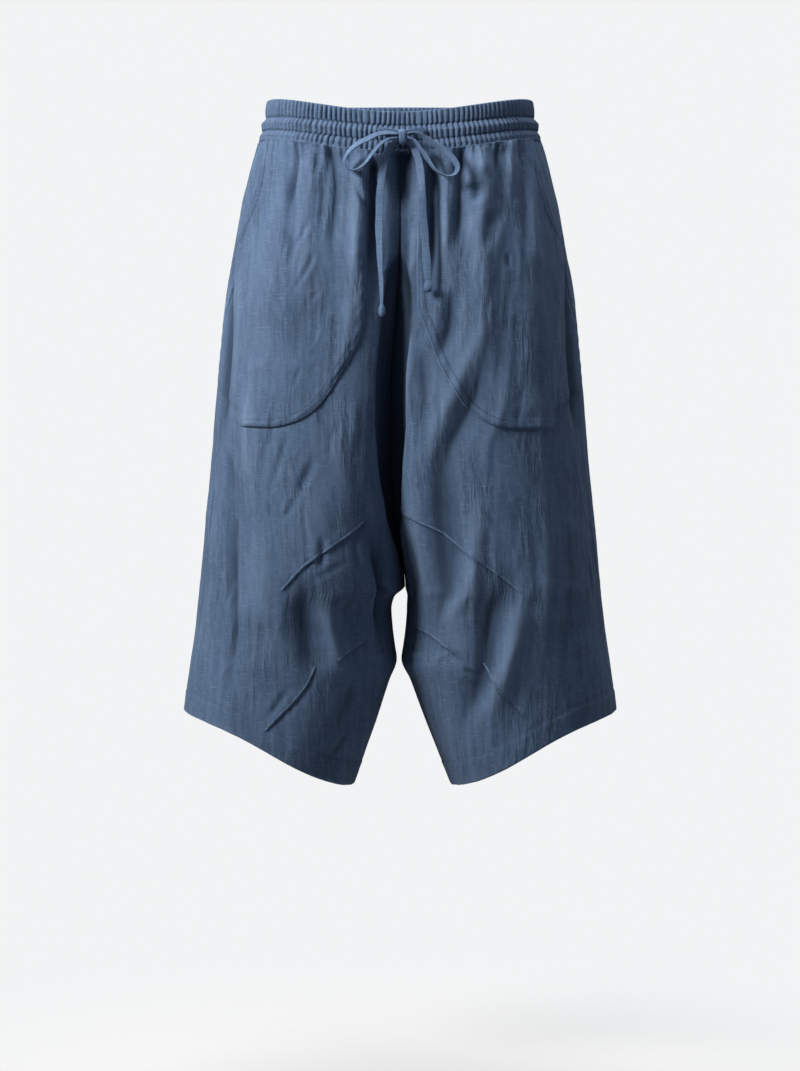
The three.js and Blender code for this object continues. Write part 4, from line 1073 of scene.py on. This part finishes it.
# Distances of the two stitched rows from the edge. The rows stop where the patch is sewn in flat,
# this far from the side seam
POCKET_STITCHES, SEWN_FLAT = (2.0, 9.0), 98
POCKET_TUCK = 0.6
POCKET_INNER = {
    -1: [(34, -22), (36, -120), (37, -215), (39.3, -245.8), (47.1, -266.8), (58.2, -286.7),
         (69.3, -305.6)],
    1: [(22, -22), (20, -120), (22, -205), (24.9, -219.3), (33.8, -239.2), (49.3, -275.7),
        (65.9, -304.4)],
}
POCKET_BOTTOM = {
    -1: [(69.3, -305.6), (83.7, -323.3), (103.6, -337.7), (131.4, -346.5), (165, -347)],
    1: [(65.9, -304.4), (77, -322.2), (97, -338.8), (117, -347.6), (165, -350)],
}
POCKET_SIDE_END = {-1: -343.0, 1: -346.0}
POCKET_MOUTH = [(151, -22), (153, -44), (159, -80), (173, -118), (183, -134), (192, -141)]


def seam_points(heights):
    """Places on the front, beside the side seam"""
    heights = np.asarray(heights, float)
    across = from_grain("front", at_height(SEAM_SHARE, heights), heights) - POCKET_TUCK
    return np.stack([across, heights], axis=-1)


def pocket_lines(side):
    """The pocket's inner edge, bottom and mouth, as lines on the cloth"""
    inner = on_cloth("front", POCKET_INNER[side], 1.0)
    bottom = on_cloth("front", POCKET_BOTTOM[side], 6.0)
    bottom = smooth_line(np.vstack([bottom, seam_points([POCKET_SIDE_END[side]])]))
    mouth = on_cloth("front", POCKET_MOUTH[:-1], 6.0)
    mouth = smooth_line(np.vstack([mouth, seam_points([POCKET_MOUTH[-1][1]])]))
    return inner, bottom, mouth


def pocket_place(side, s, z, lines):
    """Places on the pocket's face, which lies on the panel and is thicker at its turned edges"""
    inner, bottom, mouth = lines
    share = share_of("front", s, z)
    seam = at_height(SEAM_SHARE, z)
    over = np.clip(share / seam, 0, 1)
    place, facing, rubbed_and_shaded, _ = cloth_at("front", side, over, z, level_at("front", over, z))
    edge = np.minimum(line_reach(s, z, inner[::4])[0], line_reach(s, z, bottom[::4])[0])
    mouth_away = line_reach(s, z, mouth[::4])[0]
    nearest = np.minimum(edge, mouth_away)
    stand = 1.2 + 1.3 * smooth_step(nearest / 1.2) - 0.7 * smooth_step((nearest - 9) / 2.5)
    sunk = sum(bell(away - row, 0.9) for away in (edge, mouth_away) for row in POCKET_STITCHES)
    pucker = np.sin(s / 2.7 + z / 3.1) * bell(nearest - 5, 4)
    stand += 0.25 * pucker + 0.8 * (noise(s / 40 + 50, z / 50, 6) - 0.3) * smooth_step(nearest / 12)
    # The mouth stands a little open in its upper half
    gape = bell(z + 80, 34) * bell(mouth_away, 9)
    stand = np.maximum(stand - 0.55 * sunk, 1.0) + 2.2 * gape
    # Towards the side seam, where the patch is sewn in, it lies flat
    from_side = (seam - share) * at_height(GIRTH, z)
    flat = smooth_step((from_side - 4 - 72 * smooth_step((-300 - z) / 36)) / 30)
    stand = 0.12 + (stand - 0.12) * flat - 0.9 * (1 - flat) * bell(nearest, 5)
    rubbed = 0.35 * bell(nearest, 1.3) - 0.35 * np.minimum(sunk, 1)
    return place + facing * stand[..., None], facing, np.clip(rubbed_and_shaded + rubbed * flat, 0, 1)


def clustered(count):
    """Shares from 0 to 1 that lie closer together at both ends"""
    t = np.linspace(0, 1, count)
    return 0.8 * t + 0.2 * smooth_step(t)


def along_line(line, shares):
    """Places on a line at shares of its length"""
    length = lengths_along(line)
    return np.stack([np.interp(shares * length[-1], length, line[:, k]) for k in (0, 1)], axis=1)


def pocket_piece(name, side):
    """A patch spanned between its inner edge, its bottom, and its mouth with the side seam"""
    lines = pocket_lines(side)
    inner, bottom, mouth = lines
    below = np.linspace(POCKET_MOUTH[-1][1], POCKET_SIDE_END[side], 40)[1:]
    outer = np.vstack([mouth, seam_points(below)])
    u, v = clustered(POCKET_COLUMNS), clustered(POCKET_ROWS)
    top, low = along_line(np.array([inner[0], outer[0]]), u), along_line(bottom, u)
    left, right = along_line(inner, v), along_line(outer, v)
    u, v = u[None, :, None], v[:, None, None]
    grid = ((1 - v) * top[None] + v * low[None] + (1 - u) * left[:, None] + u * right[:, None]
            - (1 - u) * (1 - v) * top[0] - u * (1 - v) * top[-1]
            - (1 - u) * v * low[0] - u * v * low[-1])
    s, z = grid[..., 0], grid[..., 1]
    place, facing, rubbed_and_shaded = pocket_place(side, s, z, lines)
    faces, row, column = grid_faces(POCKET_ROWS, POCKET_COLUMNS)
    uvs = np.stack([side * s[row, column] + 1900, z[row, column]], axis=-1)
    faces, uvs = faced_out(place, facing, faces, uvs)
    piece = soft_piece(name, place.reshape(-1, 3), faces, [uvs], rubbed_and_shaded.ravel())
    thicken(piece, POCKET_CLOTH)
    return piece


for label, side in (("right", -1), ("left", 1)):
    pocket = pocket_piece(f"patch_pocket_{label}", side)
    pocket.data.materials.append(linen)
    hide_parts(f"pocket_{label}")
    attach(pocket, "root")


# Darts
# Each dart is a fold that is sewn shut from behind and pressed down, so that its upper edge lies
# over the cloth below it.
DART_SECTION = [
    # Distance up the cloth from the fold's edge, and height over the cloth
    (3.4, -0.25), (2.4, 0.05), (1.4, 0.22), (0.6, 0.32), (0.1, 0.28), (-0.15, 0.0), (0.0, -0.7),
    (1.6, -0.9),
]
# The fold's crest is a little paler from rubbing, and the cloth under its edge is darkened with
# painted shade
DART_RUB_AND_SHADE = [0.5, 0.5, 0.56, 0.64, 0.5, 0.1, 0.0, 0.0]


def on_panel(side, s, z):
    """Places on a front panel at distances from its middle and at heights"""
    over = np.clip(share_of("front", s, z) / at_height(SEAM_SHARE, z), 0, 1)
    place, facing, _, _ = cloth_at("front", side, over, z, level_at("front", over, z))
    return place, facing


def across_line(line):
    """Unit vectors across a line on the cloth"""
    along = unit(np.gradient(line, axis=0))
    return np.stack([-along[:, 1], along[:, 0]], axis=1)


for label, side in (("right", -1), ("left", 1)):
    for number, line in enumerate(dart_lines[side], 1):
        share = np.linspace(0, 1, len(line))
        ends = smooth_step(share / 0.08) * smooth_step((1 - share) / 0.06)
        spread = np.array(DART_SECTION)
        up = across_line(line)
        up = up * np.sign(up[:, 1:2] + 1e-6)
        place = line[:, None] + up[:, None] * spread[None, :, :1]
        places, facing = on_panel(side, place[..., 0], place[..., 1])
        lift = spread[None, :, 1] * (0.25 + 0.75 * ends[:, None]) - 0.5 * (1 - ends[:, None])
        places = places + facing * lift[..., None]
        count = len(DART_SECTION)
        faces, row, column = grid_faces(len(line), count, closed=True)
        uvs = np.stack([side * place[row, column % count, 0], place[row, column % count, 1]], axis=-1)
        first, last = list(range(count)), [(len(line) - 1) * count + i for i in range(count)]
        middle = len(line) // 2
        a, b, c = places[middle, 2], places[middle + 1, 2], places[middle, 3]
        if np.cross(b - a, c - a) @ facing[middle, 2] < 0:
            faces, uvs, last = faces[:, ::-1], uvs[:, ::-1], last[::-1]
        else:
            first = first[::-1]
        rubbed_and_shaded = np.tile(DART_RUB_AND_SHADE, len(line))
        dart = soft_piece(f"dart_{label}_{number}", places.reshape(-1, 3), [*faces, first, last],
                          [uvs, np.zeros((2 * count, 2))], rubbed_and_shaded)
        dart.data.materials.append(linen)
        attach(dart, "root")


# Stitches
# Lockstitch of blue polyester thread, 0.5 mm thick and 2.7 mm long, along the waistband, the hems,
# the pockets and beside the seams.
STITCH, STITCH_GAP, THREAD = 2.7, 0.8, 0.55
# Heights of the row beside each side seam, and how far in from the widest place it starts and ends
SIDE_ROW, SIDE_ROW_AWAY, INSEAM_END = (-352, -645), (10.5, 5.5), -728
BAND_ROWS_BELOW = (-17.5, -22.8)
ROW_POINTS = 260
# Share of a stitch's length, share of its thickness, and height over the cloth
STITCH_RINGS = [(0.0, 0.35, -0.3), (0.2, 0.9, 0.1), (0.8, 0.9, 0.1), (1.0, 0.35, -0.3)]
thread = bpy.data.materials.new("spun_polyester_thread")
thread.use_nodes = True
thread_shader = thread.node_tree.nodes["Principled BSDF"]
thread_shader.inputs["Base Color"].default_value = linear("#34486a")
thread_shader.inputs["Roughness"].default_value = 0.6


def stitched(name, seams):
    """One mesh of all the stitches along the given lines of places and facings"""
    places, count = [], 0
    for line, facing in seams:
        length = lengths_along(line)
        starts = np.arange(0.5, length[-1] - STITCH, STITCH + STITCH_GAP)
        if not len(starts):
            continue
        along = unit(np.gradient(line, axis=0))
        rings = []
        for part, thick, lift in STITCH_RINGS:
            at = starts + part * STITCH
            spot, way, up = (np.stack([np.interp(at, length, values[:, k]) for k in range(3)],
                             axis=1) for values in (line, along, facing))
            up = unit(up)
            across = unit(np.cross(way, up))
            for turn in (0, pi / 2, pi, 3 * pi / 2):
                radius = thick * THREAD / 2
                rings.append(spot + across * cos(turn) * radius + up * (sin(turn) * radius + lift))
        places.append(np.stack(rings, axis=1))
        count += len(starts)
    places = np.concatenate(places)
    ring, corner = np.mgrid[0 : len(STITCH_RINGS) - 1, 0:4]
    a, b = ring * 4 + corner, ring * 4 + (corner + 1) % 4
    one = np.stack([a, a + 4, b + 4, b], axis=-1).reshape(-1, 4)
    last = 4 * len(STITCH_RINGS) - 4
    one = np.vstack([one, [0, 1, 2, 3], [last + 3, last + 2, last + 1, last]])
    faces = (np.arange(count)[:, None, None] * 4 * len(STITCH_RINGS) + one[None]).reshape(-1, 4)
    piece = soft_piece(name, places.reshape(-1, 3), faces, [np.zeros((len(faces), 4, 2))])
    piece.data.materials.append(thread)
    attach(piece, "root")


def offset_line(line, distance, toward):
    """A line on the cloth beside another, on the side where a given place lies"""
    aside = across_line(line)
    middle = len(line) // 2
    sign = np.sign(aside[middle] @ (np.array(toward) - line[middle]))
    return line + aside * sign * distance


for label, side in (("right", -1), ("left", 1)):
    seams = []
    over = np.linspace(0.002, 0.998, ROW_POINTS)
    for face in ("front", "back"):
        seams.append(cloth_place(face, side, over, 0 * over + SIDE_HEM + HEM_TURN)[:2])
    # Long rows beside the side seam, and beside the inside leg below the knee
    z = np.linspace(*SIDE_ROW, ROW_POINTS)
    x = at_height(HALF_WIDTH, z) - np.linspace(*SIDE_ROW_AWAY, ROW_POINTS)
    s = np.array([length_at("front", *spot) for spot in zip(x, z)]) - at_height(GRAIN["front"], z)
    seams.append(on_panel(side, s, z))
    z = np.linspace(INSEAM_TOP, INSEAM_END, 90)
    seams.append(on_panel(side, INSEAM_ROW - at_height(GRAIN["front"], z), z))
    # The pocket's two rows along its edge, and two more along its mouth
    lines = pocket_lines(side)
    patch = np.vstack([lines[0], lines[1][:-SEWN_FLAT]])
    pocket_middle = (lines[0][0] + lines[1][-1]) / 2
    for away in POCKET_STITCHES:
        for line in (patch, lines[2]):
            beside = even_line(offset_line(line, away, pocket_middle), 1.5)
            seams.append(pocket_place(side, beside[:, 0], beside[:, 1], lines)[:2])
    stitched(f"panel_stitches_{label}", seams)

turn = np.linspace(0, 1, 2400)
stitched("waistband_stitches", [band_place(turn % 1, 0 * turn + height)[:2]
                                for height in (*BAND_STITCHES, *BAND_ROWS_BELOW)])


# Light and floor
# A pale paper floor that fades into the pale surroundings. A soft light stands at the viewer's left,
# a weak one at the right and a broad one above, and a little even light comes from all round.
FLOOR_HEIGHT, FLOOR_FADE, FLOOR_CLEAR = -1.09, 0.7, 0.6
bpy.ops.object.select_all(action="DESELECT")
bpy.ops.mesh.primitive_circle_add(vertices=96, radius=9, fill_type="TRIFAN",
                                  location=(0, 0, FLOOR_HEIGHT))
floor = bpy.context.object
floor.name = "floor"
bpy.ops.object.transform_apply(location=True, rotation=True, scale=True)
paper = bpy.data.materials.new("matt_paper")
paper.use_nodes = True
tree = paper.node_tree
shader = tree.nodes["Principled BSDF"]
shader.inputs["Base Color"].default_value = linear("#e4e4e5")
shader.inputs["Roughness"].default_value = 0.9
place = add_node(tree, "TexCoord").outputs["Object"]
away = add_node(tree, "VectorMath", {0: place, 1: (0, 0, -FLOOR_HEIGHT)}, operation="ADD")
away = add_node(tree, "VectorMath", {0: away.outputs[0]}, operation="LENGTH")
fade = add_node(tree, "MapRange", {"Value": away.outputs["Value"], "From Max": FLOOR_FADE,
                "To Min": FLOOR_CLEAR}, interpolation_type="SMOOTHSTEP").outputs["Result"]
clear = add_node(tree, "BsdfTransparent")
blended = add_node(tree, "MixShader", {0: fade, 1: shader.outputs[0], 2: clear.outputs[0]})
tree.links.new(blended.outputs[0], tree.nodes["Material Output"].inputs["Surface"])
floor.data.materials.append(paper)

world = bpy.data.worlds.new("studio")
bpy.context.scene.world = world
world.use_nodes = True
tree = world.node_tree
tree.nodes.clear()
seen = add_node(tree, "Background", {"Color": linear("#f2f3f4"), "Strength": 1.0})
lit = add_node(tree, "Background", {"Color": linear("#f0f3f8"), "Strength": 0.14})
ray = add_node(tree, "LightPath").outputs["Is Camera Ray"]
both = add_node(tree, "MixShader", {0: ray, 1: lit.outputs[0], 2: seen.outputs[0]})
add_node(tree, "OutputWorld", {"Surface": both.outputs[0]})


def soft_light(name, place, target, size, power, code):
    """A round light of a size in metres and a power in watts, turned to a target"""
    bpy.ops.object.light_add(type="AREA", location=place)
    light = bpy.context.object
    light.name = name
    light.data.shape = "DISK"
    light.data.size = size
    light.data.energy = power
    light.data.color = linear(code)[:3]
    dx, dy, dz = (t - p for t, p in zip(target, place))
    light.rotation_euler = (pi / 2 + atan2(dz, (dx * dx + dy * dy) ** 0.5), 0, atan2(-dx, dy))


soft_light("key_light", (-1.75, -1.2, 1.0), (0, 0, -0.3), 0.85, 84, "#fffaf4")
soft_light("fill_light", (2.2, -2.3, 0.2), (0, 0, -0.4), 2.0, 7, "#eef3ff")
soft_light("top_light", (0, 0.4, 2.4), (0, 0.4, 0), 2.6, 85, "#ffffff")
bpy.context.scene.view_settings.view_transform = "Standard"
